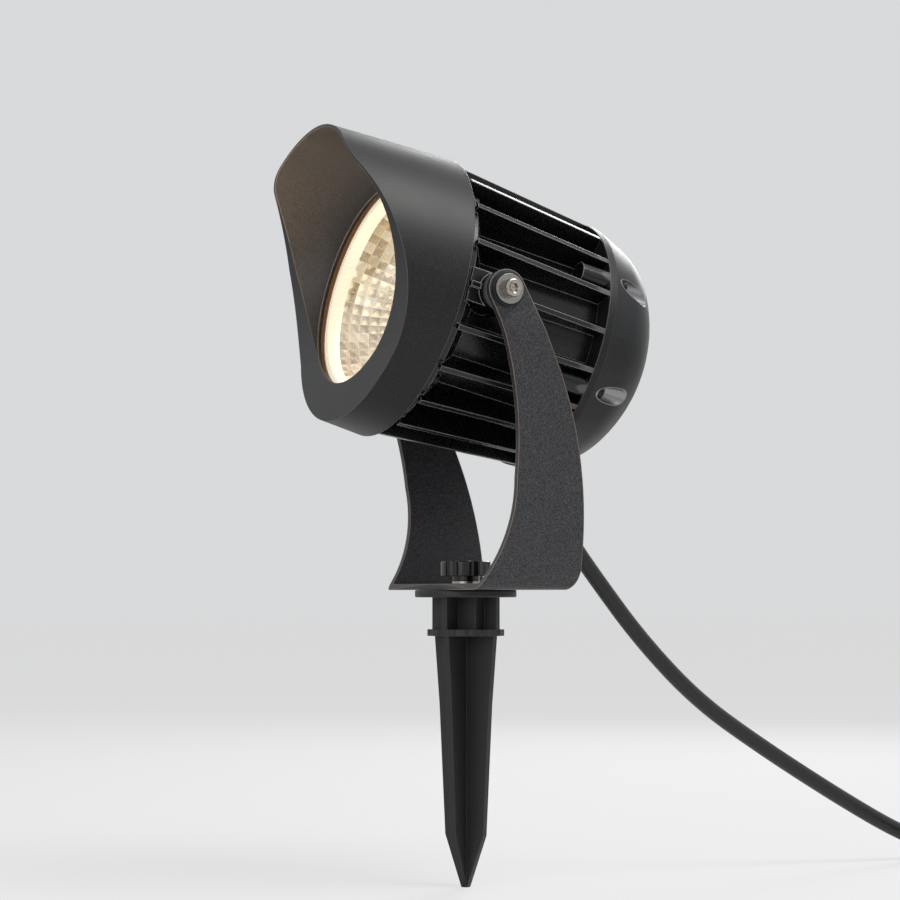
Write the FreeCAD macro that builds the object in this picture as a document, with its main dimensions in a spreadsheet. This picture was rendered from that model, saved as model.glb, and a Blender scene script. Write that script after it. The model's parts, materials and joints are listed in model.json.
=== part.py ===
import FreeCAD, Part
import math
import os
import re

import Sketcher

"""Garden spike spotlight, built as the separate pieces it comes apart into.

Frame: millimetres, +Z up, origin at ground level on the axis of the spike.  The lamp shines
towards -Y and tilts about an axis that runs along X through both arms of the yoke.
Inside the lamp head every size is measured from that tilt axis: "forward" stations are positive,
"rearward" stations negative, and radii are taken from the lamp's own axis.
"""

OUTPUT_FOLDER = "parts"
FULL_TURN = 360.0
HEX_CORNERS = 6

# ---------------------------------------------------------------------------------------------
# Driving dimensions: alias, value, what it is
# ---------------------------------------------------------------------------------------------

SIZES = [
    # ground spike, levels above the ground
    ("collar_height", 3.1, "thickness of the scalloped collar"),
    ("collar_radius", 18.7, "outside of the collar"),
    ("collar_scallops", 14, "hollows round the collar"),
    ("scallop_radius", 2.6, "radius of each hollow"),
    ("scallop_depth", 0.9, "how far a hollow bites into the collar"),
    ("post_height", 15.5, "ribbed post between collar and flange"),
    ("flange_radius", 24.75, "disc that carries the yoke"),
    ("flange_thickness", 3.6, "thickness of that disc"),
    ("flange_edge_round", 0.8, "rounding of the disc's rims"),
    ("rib_thickness", 3.0, "thickness of the cross ribs"),
    ("post_rib_reach", 18.7, "tip of the post's ribs from the axis"),
    ("blade_root_reach", 17.2, "half width of the blade at the collar"),
    ("blade_middle_reach", 14.4, "half width a little way down"),
    ("blade_middle_depth", 32.8, "depth of that width"),
    ("blade_shoulder_reach", 11.0, "half width where the point begins"),
    ("blade_shoulder_depth", 96.0, "depth where the point begins"),
    ("blade_length", 121.0, "depth of the point"),
    ("blade_tip_reach", 1.6, "half width of the point"),
    ("blade_twist", 30.3, "turn of the cross against the tilt axis, degrees"),
    ("nut_box_length", 23.5, "nut box along the first rib"),
    ("nut_box_width", 17.7, "nut box across it"),
    # clamp: stud, nut, knob
    ("stud_radius", 4.0, "clamp stud"),
    ("stud_hole_play", 0.3, "radial play round the stud"),
    ("stud_fit", 0.05, "radial fit of the stud in knob and nut"),
    ("stud_below_nut", 6.0, "stud past the nut"),
    ("nut_across_flats", 13.0, "hexagon nut"),
    ("nut_height", 6.5, "its height"),
    ("nut_slot_play", 0.2, "play of the nut in its slot, each side"),
    ("base_washer_radius", 6.9, "bright washer under the knob"),
    ("base_washer_thickness", 1.2, "its thickness"),
    ("knob_hub_radius", 6.7, "hub of the knob"),
    ("knob_hub_height", 2.6, "its height"),
    ("knob_radius", 12.5, "tips of the knob's lobes"),
    ("knob_height", 7.2, "height of the lobed grip"),
    ("knob_lobes", 6, "lobes of the knob"),
    ("knob_hollow_radius", 4.6, "radius of the hollow between two lobes"),
    ("knob_hollow_centre", 14.6, "centre of that hollow from the axis"),
    ("knob_edge_round", 0.9, "rounding of the grip's top edge"),
    ("knob_cover_thickness", 3.0, "plastic above the stud's end"),
    # yoke, folded from sheet
    ("sheet_thickness", 3.0, "sheet of the yoke"),
    ("yoke_base_half_width", 51.2, "corner of the folded base, from the axis"),
    ("arm_gap", 6.1, "air between the fins' front ends and the arms at the eyes"),
    ("yoke_knee_height", 119.2, "height of the knee where the arms turn upright"),
    ("yoke_fold_radius", 5.0, "outside radius of the base folds"),
    ("yoke_knee_radius", 45.0, "radius of the knee"),
    ("pivot_height", 137.3, "tilt axis above the underside of the base"),
    ("pivot_offset", 16.4, "tilt axis in front of the spike axis"),
    ("eye_radius", 9.3, "rounded top of the arms"),
    ("base_front", 19.5, "front edge of the base, from the spike axis"),
    ("base_front_waist", 2.2, "how far that edge bows in"),
    ("arm_front_low_y", -8.6, "front edge: point on the lower sweep"),
    ("arm_front_low_height", 18.0, "its height"),
    ("arm_front_middle_y", -3.9, "front edge: rearmost point"),
    ("arm_front_middle_height", 52.0, "its height"),
    ("arm_front_high_y", -9.5, "front edge: point on the upper sweep"),
    ("arm_front_high_height", 94.0, "its height"),
    ("arm_front_eye_y", -24.4, "front edge: where the eye begins"),
    ("arm_front_eye_height", 132.6, "its height"),
    ("arm_back_base_y", 29.7, "back edge: where the base ends"),
    ("arm_back_corner_y", 33.4, "back edge: point on the lower corner"),
    ("arm_back_corner_height", 4.6, "its height"),
    ("arm_back_low_y", 34.7, "back edge: end of the corner"),
    ("arm_back_low_height", 13.0, "its height"),
    ("arm_back_middle_y", 29.5, "back edge: point on the sweep"),
    ("arm_back_middle_height", 57.0, "its height"),
    ("arm_back_high_y", 13.1, "back edge: end of the sweep"),
    ("arm_back_high_height", 101.8, "its height"),
    ("arm_back_eye_y", -8.2, "back edge: where the eye begins"),
    ("arm_back_eye_height", 141.8, "its height"),
    # tilt pivots
    ("tilt_rest", 14.15, "tilt of the lamp above level, degrees"),
    ("pivot_screw_radius", 2.5, "pivot screw"),
    ("pivot_head_radius", 4.25, "its cylinder head"),
    ("pivot_head_height", 5.0, "height of the head"),
    ("hex_socket_across", 4.0, "hexagon socket of the head"),
    ("hex_socket_depth", 2.6, "its depth"),
    ("pivot_screw_length", 24.0, "shank of the pivot screw"),
    ("steel_washer_radius", 7.0, "bright washer under the head"),
    ("steel_washer_thickness", 1.2, "its thickness"),
    ("black_washer_radius", 8.0, "dark washer against the arm"),
    ("black_washer_thickness", 1.5, "its thickness"),
    ("friction_washer_radius", 8.6, "friction washer inside the arm"),
    ("friction_washer_thickness", 1.0, "its thickness"),
    ("washer_play", 0.3, "radial play of the washers on the screw"),
    ("screw_fit", 0.05, "radial fit of a screw in its thread"),
    ("pivot_boss_radius", 9.0, "round boss that meets the arm"),
    ("pivot_pad_gap", 8.0, "cast pad inside the arm"),
    ("pivot_pad_half_height", 8.0, "pad above and below the axis"),
    ("pivot_pad_rear", 9.0, "pad behind the axis"),
    # heat sink body
    ("core_radius", 52.0, "drum that carries the fins"),
    ("body_rear", 61.3, "rear face, behind the tilt axis"),
    ("body_ring_radius", 64.0, "ring behind the hood"),
    ("body_ring_thickness", 5.2, "its thickness"),
    ("body_ring_slope", 8.0, "length of the cone behind the ring"),
    ("spigot_radius", 57.5, "spigot inside the hood"),
    ("spigot_front", 30.9, "front face of the spigot"),
    ("front_cavity_radius", 49.0, "space round the reflector"),
    ("front_cavity_straight", 12.0, "where that space begins to narrow"),
    ("led_floor", -15.0, "face that carries the light engine"),
    ("led_floor_radius", 32.0, "its radius"),
    ("led_floor_thickness", 6.0, "wall between light engine and driver"),
    ("rear_cavity_radius", 45.0, "driver compartment"),
    ("fin_count", 20, "cooling fins"),
    ("fin_thickness", 2.5, "thickness of a fin"),
    ("fin_front", 14.0, "front end of the fins"),
    ("fin_front_radius", 67.9, "fin tips at the front"),
    ("fin_rear_radius", 62.3, "fin tips at the rear"),
    ("cap_boss_radius", 5.6, "screw boss between two fins"),
    ("cap_boss_length", 15.0, "its length"),
    ("wire_hole_radius", 3.5, "hole for the wires to the light engine"),
    ("wire_hole_offset", 26.0, "its distance from the lamp axis"),
    # hood
    ("hood_rear", 17.6, "rear edge of the hood"),
    ("hood_rear_radius", 70.1, "outside of the hood at its rear edge"),
    ("hood_tip", 81.0, "tip of the visor"),
    ("hood_tip_radius", 66.2, "outside of the visor at its tip"),
    ("hood_tip_inner_radius", 64.8, "inside of the visor at its tip"),
    ("hood_throat_radius", 59.8, "inside of the visor half way out"),
    ("hood_throat", 54.0, "where that radius is"),
    ("hood_face", 39.2, "flat front face"),
    ("aperture_radius", 49.7, "opening for the light"),
    ("hood_lip", 2.0, "lip in front of the gasket"),
    ("hood_fit", 0.3, "radial play of the spigot in the hood"),
    ("hood_collar_radius", 63.6, "inner collar that takes the screws"),
    ("hood_shell", 3.1, "thickness of the outer shell at the rear"),
    ("hood_pocket_depth", 15.0, "depth of the space between collar and shell"),
    ("visor_low_height", -36.0, "side cut: end of the straight lower edge"),
    ("visor_knee_reach", 43.6, "side cut: first bend, forward"),
    ("visor_knee_height", -14.0, "its height"),
    ("visor_middle_reach", 54.0, "side cut: turning point, forward"),
    ("visor_middle_height", 10.5, "its height"),
    ("visor_upper_reach", 64.0, "side cut: upper sweep, forward"),
    ("visor_upper_height", 27.0, "its height"),
    ("visor_corner_reach", 75.5, "side cut: where the rounded corner begins, forward"),
    ("visor_corner_height", 40.5, "its height"),
    ("visor_brow_reach", 79.4, "side cut: middle of the rounded corner, forward"),
    ("visor_brow_height", 45.8, "its height"),
    ("visor_top_height", 53.0, "side cut: where the tip begins"),
    ("hood_screw_circle", 60.6, "hood screws from the lamp axis"),
    ("hood_screw_angle", 45.0, "their angle from the tilt axis, degrees"),
    ("hood_screw_radius", 2.0, "hood screw"),
    ("hood_screw_head_radius", 3.3, "its head"),
    ("hood_screw_head_height", 2.6, "height of the head"),
    ("hood_screw_length", 15.0, "shank of the hood screw"),
    ("hood_screw_play", 0.25, "radial play in the ring"),
    # glass, gasket, light engine
    ("glass_thickness", 4.0, "tempered front glass"),
    ("glass_radius", 55.0, "its radius"),
    ("glass_chamfer", 0.4, "ground edge"),
    ("gasket_front_wall", 0.8, "gasket in front of the glass"),
    ("gasket_inner_radius", 51.5, "inner edge of the gasket"),
    ("seal_fit", 0.05, "radial fit of glass and gasket"),
    ("reflector_flange_radius", 50.8, "flange that rests on the spigot"),
    ("reflector_wall", 1.2, "reflector sheet"),
    ("reflector_rim_radius", 47.5, "inside of the reflector's rim"),
    ("reflector_band", 7.0, "plain band behind the rim"),
    ("reflector_middle_radius", 33.5, "inside of the bowl half way down"),
    ("reflector_middle", 4.5, "where that radius is"),
    ("reflector_hole_radius", 11.0, "opening at the light engine"),
    ("holder_radius", 22.0, "light engine holder"),
    ("holder_height", 4.0, "its height above the floor"),
    ("holder_window_radius", 10.4, "window of the holder"),
    ("holder_lip", 1.4, "lip over the light engine"),
    ("holder_screw_circle", 18.6, "holder screws from the lamp axis"),
    ("holder_screw_radius", 1.25, "holder screw"),
    ("holder_screw_head_radius", 2.4, "its head"),
    ("holder_screw_head_height", 1.6, "height of the head"),
    ("holder_screw_length", 8.0, "shank of the holder screw"),
    ("led_board_radius", 13.6, "light engine board"),
    ("led_board_thickness", 1.6, "its thickness"),
    ("led_emitter_radius", 8.6, "emitting surface"),
    ("led_emitter_height", 0.6, "its height on the board"),
    ("driver_width", 62.0, "driver along the tilt axis"),
    ("driver_height", 34.0, "driver across it"),
    ("driver_length", 31.0, "driver along the lamp axis"),
    ("driver_corner_radius", 4.0, "rounded corners of its case"),
    # rear cap
    ("cap_radius", 62.5, "rim of the cap"),
    ("cap_rim_depth", 4.0, "straight part of the rim"),
    ("cap_slope_radius", 58.1, "dome: end of the straight slope behind the rim"),
    ("cap_slope_depth", 16.6, "its distance behind the rim's face"),
    ("cap_shoulder_radius", 53.8, "dome: point on the round shoulder"),
    ("cap_shoulder_depth", 25.0, "its distance behind the rim's face"),
    ("cap_crown_radius", 47.3, "dome: where the crown begins"),
    ("cap_crown_depth", 31.8, "its distance behind the rim's face"),
    ("cap_depth", 48.3, "depth of the dome on the axis"),
    ("cap_wall", 3.4, "wall of the cap"),
    ("seal_ring_width", 6.0, "land that presses on the cap gasket"),
    ("cap_gasket_thickness", 1.0, "flat gasket between body and cap"),
    ("cap_gasket_margin", 0.6, "gasket edge inside the land"),
    ("cap_screw_circle", 57.0, "cap screws from the lamp axis"),
    ("cap_screw_angle", 27.0, "their angle from the tilt axis, degrees"),
    ("cap_screw_radius", 2.0, "cap screw"),
    ("cap_screw_head_radius", 3.5, "its head"),
    ("cap_screw_head_height", 3.4, "height of the head"),
    ("cap_screw_floor", 7.5, "floor of the screw pockets behind the rim's face"),
    ("cap_screw_pocket_radius", 4.4, "screw pocket"),
    ("cap_screw_length", 18.0, "shank of the cap screw"),
    # cable gland
    ("gland_station", 80.0, "gland axis behind the tilt axis"),
    ("gland_drop", 53.0, "its start below the lamp axis"),
    ("gland_lean", 20.0, "lean of the gland to the rear, degrees"),
    ("gland_boss_radius", 11.2, "boss on the cap"),
    ("gland_seat", 5.5, "seat of the gland on the boss"),
    ("gland_thread_radius", 6.0, "threaded end in the cap"),
    ("gland_thread_length", 8.0, "its length"),
    ("gland_across_flats", 17.0, "hexagon of the gland body"),
    ("gland_hex_height", 4.0, "its height"),
    ("gland_neck_radius", 7.0, "neck inside the nut"),
    ("gland_neck_length", 5.0, "its length"),
    ("gland_nut_radius", 9.0, "sealing nut"),
    ("gland_nut_length", 11.0, "its length"),
    ("gland_nut_round", 3.0, "rounding of its mouth"),
    ("gland_sleeve_length", 7.6, "tapered sleeve that guards the cable below the nut"),
    ("gland_sleeve_root_radius", 6.6, "sleeve where it leaves the nut"),
    ("gland_sleeve_tip_radius", 6.0, "sleeve at its end"),
    ("gland_sleeve_flare", 1.2, "radial air round the cable at the sleeve's end"),
    ("gland_seal_radius", 6.2, "rubber bush round the cable"),
    ("gland_fit", 0.05, "radial fit inside the gland"),
    # cable and plug
    ("cable_radius", 4.1, "rubber cable"),
    ("coil_turn_gap", 0.6, "air between two turns of the coil"),
    ("coil_outer_radius", 50.0, "outermost turn, to the cable's middle"),
    ("coil_centre_x", 50.0, "middle of the coil beside the cable's line"),
    ("coil_centre_y", 315.0, "middle of the coil behind the spike"),
    ("coil_half_turns", 4, "half turns of the lower layer"),
    ("floor_depth", 121.0, "surface that the loose cable lies on, below ground level"),
    ("plug_back_y", 402.0, "where the cable enters the plug"),
    ("plug_relief_radius", 6.6, "plug: cable sleeve at its mouth"),
    ("plug_relief_base_radius", 9.0, "plug: cable sleeve at its root"),
    ("plug_relief_length", 26.0, "plug: length of the sleeve"),
    ("plug_shoulder_length", 12.0, "plug: sloping shoulder"),
    ("plug_radius", 18.5, "plug: round grip"),
    ("plug_grip_length", 20.0, "plug: length of the grip"),
    ("plug_nose_radius", 17.2, "plug: front part that enters the socket"),
    ("plug_nose_length", 12.0, "plug: its length"),
    ("plug_recess_radius", 4.0, "plug: side grooves for the earth contact"),
    ("pin_radius", 2.4, "contact pins"),
    ("pin_length", 19.0, "their free length"),
    ("pin_spacing", 19.0, "distance between the pins"),
    ("pin_root", 6.0, "length of a pin inside the plug"),
    ("pin_root_radius", 1.9, "that part of the pin"),
    ("pin_round", 1.2, "rounding of the pin tips"),
]

size = {alias: value for alias, value, _ in SIZES}

# Outer and inner faces of the arms at the eyes, from the lamp's middle.
EYE_FACE = "(fin_front_radius + arm_gap + sheet_thickness)"
ARM_INNER = "(fin_front_radius + arm_gap)"

# Route of the free cable behind the lamp, as (Y, Z) of its middle after it leaves the gland.
CABLE_ROUTE = [
    (51.0, 61.1),
    (56.1, 49.0),
    (73.0, 27.3),
    (98.5, -3.1),
    (131.0, -33.6),
    (168.0, -57.3),
    (215.0, -84.4),
    (256.0, -106.0),
    (287.0, -116.9),
]

# Middle of the cable between the coil and the plug, as (Y, Z).
PLUG_ROUTE = [
    (346.0, -108.1),
    (376.0, -102.5),
]
ARC_SHARE = 0.45

# Middle of the rounded top of an arm's front edge, in eye radii forward and up.
EYE_ARC_FORWARD = 0.4
EYE_ARC_RISE = 0.9165

# Sockets of the smaller screws, as shares of the pivot screw's socket.
LAMP_SOCKET = 0.6
HOLDER_SOCKET_WIDTH = 0.4
HOLDER_SOCKET_DEPTH = 0.3

# Shortest edge that the rounding of a corner takes, and shortest helper edge, in millimetres.
SHORT_EDGE = 1.0
SHORT_HELPER = 0.5

# How far cutting tools reach past what they cut.
CUT_MARGIN = 1.5
BORE_MARGIN = 3

# Spacing of the points on which the coil's gap to itself is measured, in millimetres.
GAP_STEP = 2.0

# ---------------------------------------------------------------------------------------------
# Document, spreadsheet and small helpers
# ---------------------------------------------------------------------------------------------

doc = FreeCAD.newDocument("GardenSpikeSpotlight")
sheet = doc.addObject("Spreadsheet::Sheet", "Sizes")
for row, (alias, value, meaning) in enumerate(SIZES, start=1):
    sheet.set(f"A{row}", meaning)
    sheet.set(f"B{row}", str(value))
    sheet.setAlias(f"B{row}", alias)
doc.recompute()

nodes = []


def bound(formula):
    """Return a formula over size names as an expression over the spreadsheet."""
    return re.sub(r"[a-z_]{2,}", lambda m: f"Sizes.{m.group(0)}" if m.group(0) in size else m.group(0),
                  str(formula))


def number(formula):
    """Return the present value of a formula over size names."""
    return float(sheet.evalExpression(str(formula)))


def new_body(label, placement=None):
    """Start a sub-part as a body of its own."""
    body = doc.addObject("PartDesign::Body", label)
    body.Label = label
    if placement is not None:
        body.Placement = placement
    nodes.append(body)
    return body


def new_shape(label, shape, placement=None):
    """Add a sub-part whose form is a swept or grouped shape."""
    feature = doc.addObject("Part::Feature", label)
    feature.Label = label
    feature.Shape = shape
    if placement is not None:
        feature.Placement = placement
    nodes.append(feature)
    return feature


def new_sketch(body, role, offset=None):
    """Add a sketch on one of the body's own origin planes, shifted by an offset placement."""
    sketch = body.newObject("Sketcher::SketchObject", f"{body.Name}_sketch")
    plane = next(item for item in body.Origin.OriginFeatures if item.Role == role)
    sketch.AttachmentSupport = [(plane, "")]
    sketch.MapMode = "FlatFace"
    if offset is not None:
        sketch.AttachmentOffset = offset
    return sketch


def pin_point(sketch, geometry, vertex, x, y):
    """Dimension one point of a sketch from the origin with two formulas."""
    for kind, formula in (("DistanceX", x), ("DistanceY", y)):
        index = sketch.addConstraint(
            Sketcher.Constraint(kind, -1, 1, geometry, vertex, number(formula)))
        sketch.setExpression(f"Constraints[{index}]", bound(formula))


def add_outline(sketch, steps):
    """Draw a closed outline.

    Each step is (x, y) for a straight run to that point, or (x, y, via_x, via_y) for an arc to it
    through a second point.  All entries are formulas over size names.
    """
    corners = [FreeCAD.Vector(number(step[0]), number(step[1]), 0) for step in steps]
    first = sketch.GeometryCount
    ends = []
    for index, step in enumerate(steps):
        start = corners[index - 1]
        end = corners[index]
        if len(step) == 2:
            ends.append((sketch.addGeometry(Part.LineSegment(start, end), False), 1, 2))
            continue
        via = FreeCAD.Vector(number(step[2]), number(step[3]), 0)
        curve = Part.ArcOfCircle(start, via, end)
        geometry = sketch.addGeometry(curve, False)
        clockwise = (via - start).cross(end - via).z < 0
        ends.append((geometry, 2, 1) if clockwise else (geometry, 1, 2))
    for index, step in enumerate(steps):
        geometry, _, finish = ends[index]
        following, begin, _ = ends[(index + 1) % len(steps)]
        sketch.addConstraint(Sketcher.Constraint("Coincident", geometry, finish, following, begin))
    for index, step in enumerate(steps):
        geometry, _, finish = ends[index]
        pin_point(sketch, geometry, finish, step[0], step[1])
    for index, step in enumerate(steps):
        if len(step) == 4:
            via = sketch.addGeometry(
                Part.Point(FreeCAD.Vector(number(step[2]), number(step[3]), 0)), True)
            pin_point(sketch, via, 1, step[2], step[3])
            sketch.addConstraint(Sketcher.Constraint("PointOnObject", via, 1, ends[index][0]))


def add_circle(sketch, x, y, radius):
    """Draw a circle whose middle and radius are formulas over size names."""
    middle = FreeCAD.Vector(number(x), number(y), 0)
    circle = sketch.addGeometry(
        Part.Circle(middle, FreeCAD.Vector(0, 0, 1), number(radius)), False)
    pin_point(sketch, circle, 3, x, y)
    index = sketch.addConstraint(Sketcher.Constraint("Radius", circle, number(radius)))
    sketch.setExpression(f"Constraints[{index}]", bound(radius))


def add_hexagon(sketch, across_flats, flats_on_x=False):
    """Draw a regular hexagon about the sketch's origin, its corners or its flats on the X axis."""
    steps = []
    spread = FULL_TURN / HEX_CORNERS
    for corner in range(HEX_CORNERS):
        angle = spread * (corner + 0.5) if flats_on_x else spread * corner
        steps.append((f"({across_flats}) / sqrt(3) * cos({angle} deg)",
                      f"({across_flats}) / sqrt(3) * sin({angle} deg)"))
    add_outline(sketch, steps)


def add_feature(body, kind, sketch, **settings):
    """Add a sketch-based feature; strings among the settings are formulas over size names."""
    feature = body.newObject(f"PartDesign::{kind}", f"{body.Name}_{kind.lower()}")
    feature.Profile = sketch
    if kind in ("Revolution", "Groove"):
        feature.ReferenceAxis = (sketch, ["V_Axis"])
        feature.Angle = FULL_TURN
    for name, value in settings.items():
        if isinstance(value, str) and name in ("Length", "Length2", "TaperAngle"):
            setattr(feature, name, number(value))
            feature.setExpression(name, bound(value))
        else:
            setattr(feature, name, value)
    sketch.Visibility = False
    return feature


def cut_checked(body, kind, sketch, **settings):
    """Add a Pocket or Groove and make sure that it removes material."""
    doc.recompute()
    before = body.Shape.Volume
    feature = add_feature(body, kind, sketch, **settings)
    doc.recompute()
    if not body.Shape.Volume < before:
        raise RuntimeError(f"{feature.Label} removes nothing from {body.Label}: {feature.State}")
    return feature


def polar_copies(body, feature, sketch, axis, count):
    """Repeat a feature round an axis of its sketch."""
    pattern = body.newObject("PartDesign::PolarPattern", f"{body.Name}_pattern")
    pattern.Originals = [feature]
    pattern.Axis = (sketch, [axis])
    pattern.Angle = FULL_TURN
    pattern.Occurrences = int(number(count))
    pattern.setExpression("Occurrences", bound(count))
    body.Tip = pattern
    return pattern


def round_edges(body, radius, wanted, kind="Fillet"):
    """Fillet or chamfer the edges of the body that a test picks."""
    doc.recompute()
    base = body.Tip
    names = [f"Edge{index}" for index, edge in enumerate(base.Shape.Edges, start=1) if wanted(edge)]
    if not names:
        raise RuntimeError(f"no edge of {body.Label} fits the test")
    feature = body.newObject(f"PartDesign::{kind}", f"{body.Name}_{kind.lower()}")
    feature.Base = (base, names)
    name = "Radius" if kind == "Fillet" else "Size"
    setattr(feature, name, number(radius))
    feature.setExpression(name, bound(radius))
    return feature


def circle_at(radius, level, axis="z"):
    """Return a test for a full circular edge of a radius at a level along an axis."""
    wanted_radius = number(radius)
    wanted_level = number(level)

    def fits(edge):
        if not isinstance(edge.Curve, Part.Circle):
            return False
        close = abs(edge.Curve.Radius - wanted_radius) < 1e-4
        return close and abs(getattr(edge.CenterOfMass, axis) - wanted_level) < 1e-4

    return fits


def raised(level):
    """Offset along a plane's own normal."""
    return FreeCAD.Placement(FreeCAD.Vector(0, 0, number(level)), FreeCAD.Rotation())


def placed(x=0.0, y=0.0, z=0.0, axis=(0, 0, 1), angle=0.0):
    """Placement from formulas and a turn about an axis."""
    base = FreeCAD.Vector(number(x), number(y), number(z))
    return FreeCAD.Placement(base, FreeCAD.Rotation(FreeCAD.Vector(*axis), number(angle)))


FLANGE_TOP = "collar_height + post_height + flange_thickness"
BASE_TOP = f"{FLANGE_TOP} + sheet_thickness"
PIVOT_LEVEL = f"{FLANGE_TOP} + pivot_height"


def lamp_placement():
    """Placement of the lamp's own frame: its origin on the tilt axis, +Y to the rear."""
    return placed(0, "-pivot_offset", PIVOT_LEVEL, (1, 0, 0), "-tilt_rest")


def lamp_body(label):
    """Start a piece that is round about the lamp axis."""
    return new_body(label, lamp_placement())


def turned_piece(body, steps, kind="Revolution"):
    """Revolve an outline given as (radius, forward station) about the lamp axis."""
    sketch = new_sketch(body, "XY_Plane")
    mirrored = []
    for step in steps:
        entry = [step[0], f"-({step[1]})"]
        if len(step) == 4:
            entry += [step[2], f"-({step[3]})"]
        mirrored.append(tuple(entry))
    add_outline(sketch, mirrored)
    if kind == "Groove":
        return cut_checked(body, kind, sketch), sketch
    return add_feature(body, kind, sketch), sketch


def cross_sketch(body, station):
    """Sketch square to the lamp axis at a forward station; its Y runs up, its normal forward."""
    offset = raised(station)
    return new_sketch(body, "XZ_Plane", offset)


def screw_spots(circle, angle):
    """Four spots on a circle, mirrored about both axes."""
    spots = []
    for side in (1, -1):
        for height in (1, -1):
            spots.append((f"{side} * {circle} * cos({angle} * 1 deg)",
                          f"{height} * {circle} * sin({angle} * 1 deg)"))
    return spots


def add_spots(sketch, spots, radius):
    """Draw one circle on each spot."""
    for x, y in spots:
        add_circle(sketch, x, y, radius)


# ---------------------------------------------------------------------------------------------
# Ground spike with its nut
# ---------------------------------------------------------------------------------------------


def make_ground_spike():
    """Spike of four blades with its collar, ribbed post, nut box and flange."""
    body = new_body("ground_spike", placed(angle="blade_twist"))
    flange = new_sketch(body, "XY_Plane", raised("collar_height + post_height"))
    add_circle(flange, 0, 0, "flange_radius")
    add_feature(body, "Pad", flange, Length="flange_thickness")
    collar = new_sketch(body, "XY_Plane")
    add_circle(collar, 0, 0, "collar_radius")
    add_feature(body, "Pad", collar, Length="collar_height")
    box = new_sketch(body, "XY_Plane", raised("collar_height"))
    add_outline(box, [("-nut_box_length / 2", "-nut_box_width / 2"),
                      ("nut_box_length / 2", "-nut_box_width / 2"),
                      ("nut_box_length / 2", "nut_box_width / 2"),
                      ("-nut_box_length / 2", "nut_box_width / 2")])
    add_feature(body, "Pad", box, Length="post_height")
    for plane in ("XZ_Plane", "YZ_Plane"):
        post = new_sketch(body, plane)
        add_outline(post, [("-post_rib_reach", "collar_height"),
                           ("post_rib_reach", "collar_height"),
                           ("post_rib_reach", "collar_height + post_height"),
                           ("-post_rib_reach", "collar_height + post_height")])
        add_feature(body, "Pad", post, Length="rib_thickness", SideType="Symmetric")
        blade = new_sketch(body, plane)
        add_outline(blade, [("-blade_root_reach", "0"),
                            ("-blade_middle_reach", "-blade_middle_depth"),
                            ("-blade_shoulder_reach", "-blade_shoulder_depth"),
                            ("-blade_tip_reach", "-blade_length"),
                            ("blade_tip_reach", "-blade_length"),
                            ("blade_shoulder_reach", "-blade_shoulder_depth"),
                            ("blade_middle_reach", "-blade_middle_depth"),
                            ("blade_root_reach", "0")])
        add_feature(body, "Pad", blade, Length="rib_thickness", SideType="Symmetric")
    scallop = new_sketch(body, "XY_Plane")
    add_circle(scallop, "collar_radius - scallop_depth + scallop_radius", 0, "scallop_radius")
    hollow = cut_checked(body, "Pocket", scallop, Length="collar_height", Reversed=True)
    polar_copies(body, hollow, scallop, "N_Axis", "collar_scallops")
    slot = new_sketch(body, "XY_Plane", raised("collar_height + post_height"))
    half = "nut_across_flats / 2 + nut_slot_play"
    add_outline(slot, [(f"-({half})", f"-({half}) / sqrt(3)"),
                       ("0", f"-({half}) * 2 / sqrt(3)"),
                       (half, f"-({half}) / sqrt(3)"),
                       (half, "nut_box_width"),
                       (f"-({half})", "nut_box_width")])
    cut_checked(body, "Pocket", slot, Length="nut_height + nut_slot_play")
    bore = new_sketch(body, "XY_Plane", raised(FLANGE_TOP))
    add_circle(bore, 0, 0, "stud_radius + stud_hole_play")
    depth = "flange_thickness + nut_height + stud_below_nut + stud_hole_play"
    cut_checked(body, "Pocket", bore, Length=depth)
    round_edges(body, "flange_edge_round", lambda edge: circle_at("flange_radius", FLANGE_TOP)(edge)
                or circle_at("flange_radius", "collar_height + post_height")(edge))


def make_clamp_nut():
    """Hexagon nut that the clamp stud screws into."""
    body = new_body("clamp_nut", placed(0, 0, "collar_height + post_height - nut_height",
                                        angle="blade_twist"))
    outline = new_sketch(body, "XY_Plane")
    add_hexagon(outline, "nut_across_flats", flats_on_x=True)
    add_circle(outline, 0, 0, "stud_radius + stud_fit")
    add_feature(body, "Pad", outline, Length="nut_height")


# ---------------------------------------------------------------------------------------------
# Clamp knob on its stud
# ---------------------------------------------------------------------------------------------

KNOB_SEAT = f"{BASE_TOP} + base_washer_thickness"
KNOB_TOTAL = "knob_hub_height + knob_height"


def make_clamp_knob():
    """Lobed knob on its round hub, with a blind bore for the stud."""
    body = new_body("clamp_knob", placed(0, 0, KNOB_SEAT))
    hub = new_sketch(body, "XY_Plane")
    add_circle(hub, 0, 0, "knob_hub_radius")
    add_feature(body, "Pad", hub, Length=KNOB_TOTAL)
    grip = new_sketch(body, "XY_Plane", raised("knob_hub_height"))
    add_circle(grip, 0, 0, "knob_radius")
    add_feature(body, "Pad", grip, Length="knob_height")
    round_edges(body, "knob_edge_round", circle_at("knob_radius", KNOB_TOTAL))
    hollow = new_sketch(body, "XY_Plane", raised("knob_hub_height"))
    add_circle(hollow, "knob_hollow_centre", 0, "knob_hollow_radius")
    cut = cut_checked(body, "Pocket", hollow, Length="knob_height", Reversed=True)
    polar_copies(body, cut, hollow, "N_Axis", "knob_lobes")
    bore = new_sketch(body, "XY_Plane")
    add_circle(bore, 0, 0, "stud_radius + stud_fit")
    cut_checked(body, "Pocket", bore, Length=f"{KNOB_TOTAL} - knob_cover_thickness", Reversed=True)


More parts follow.
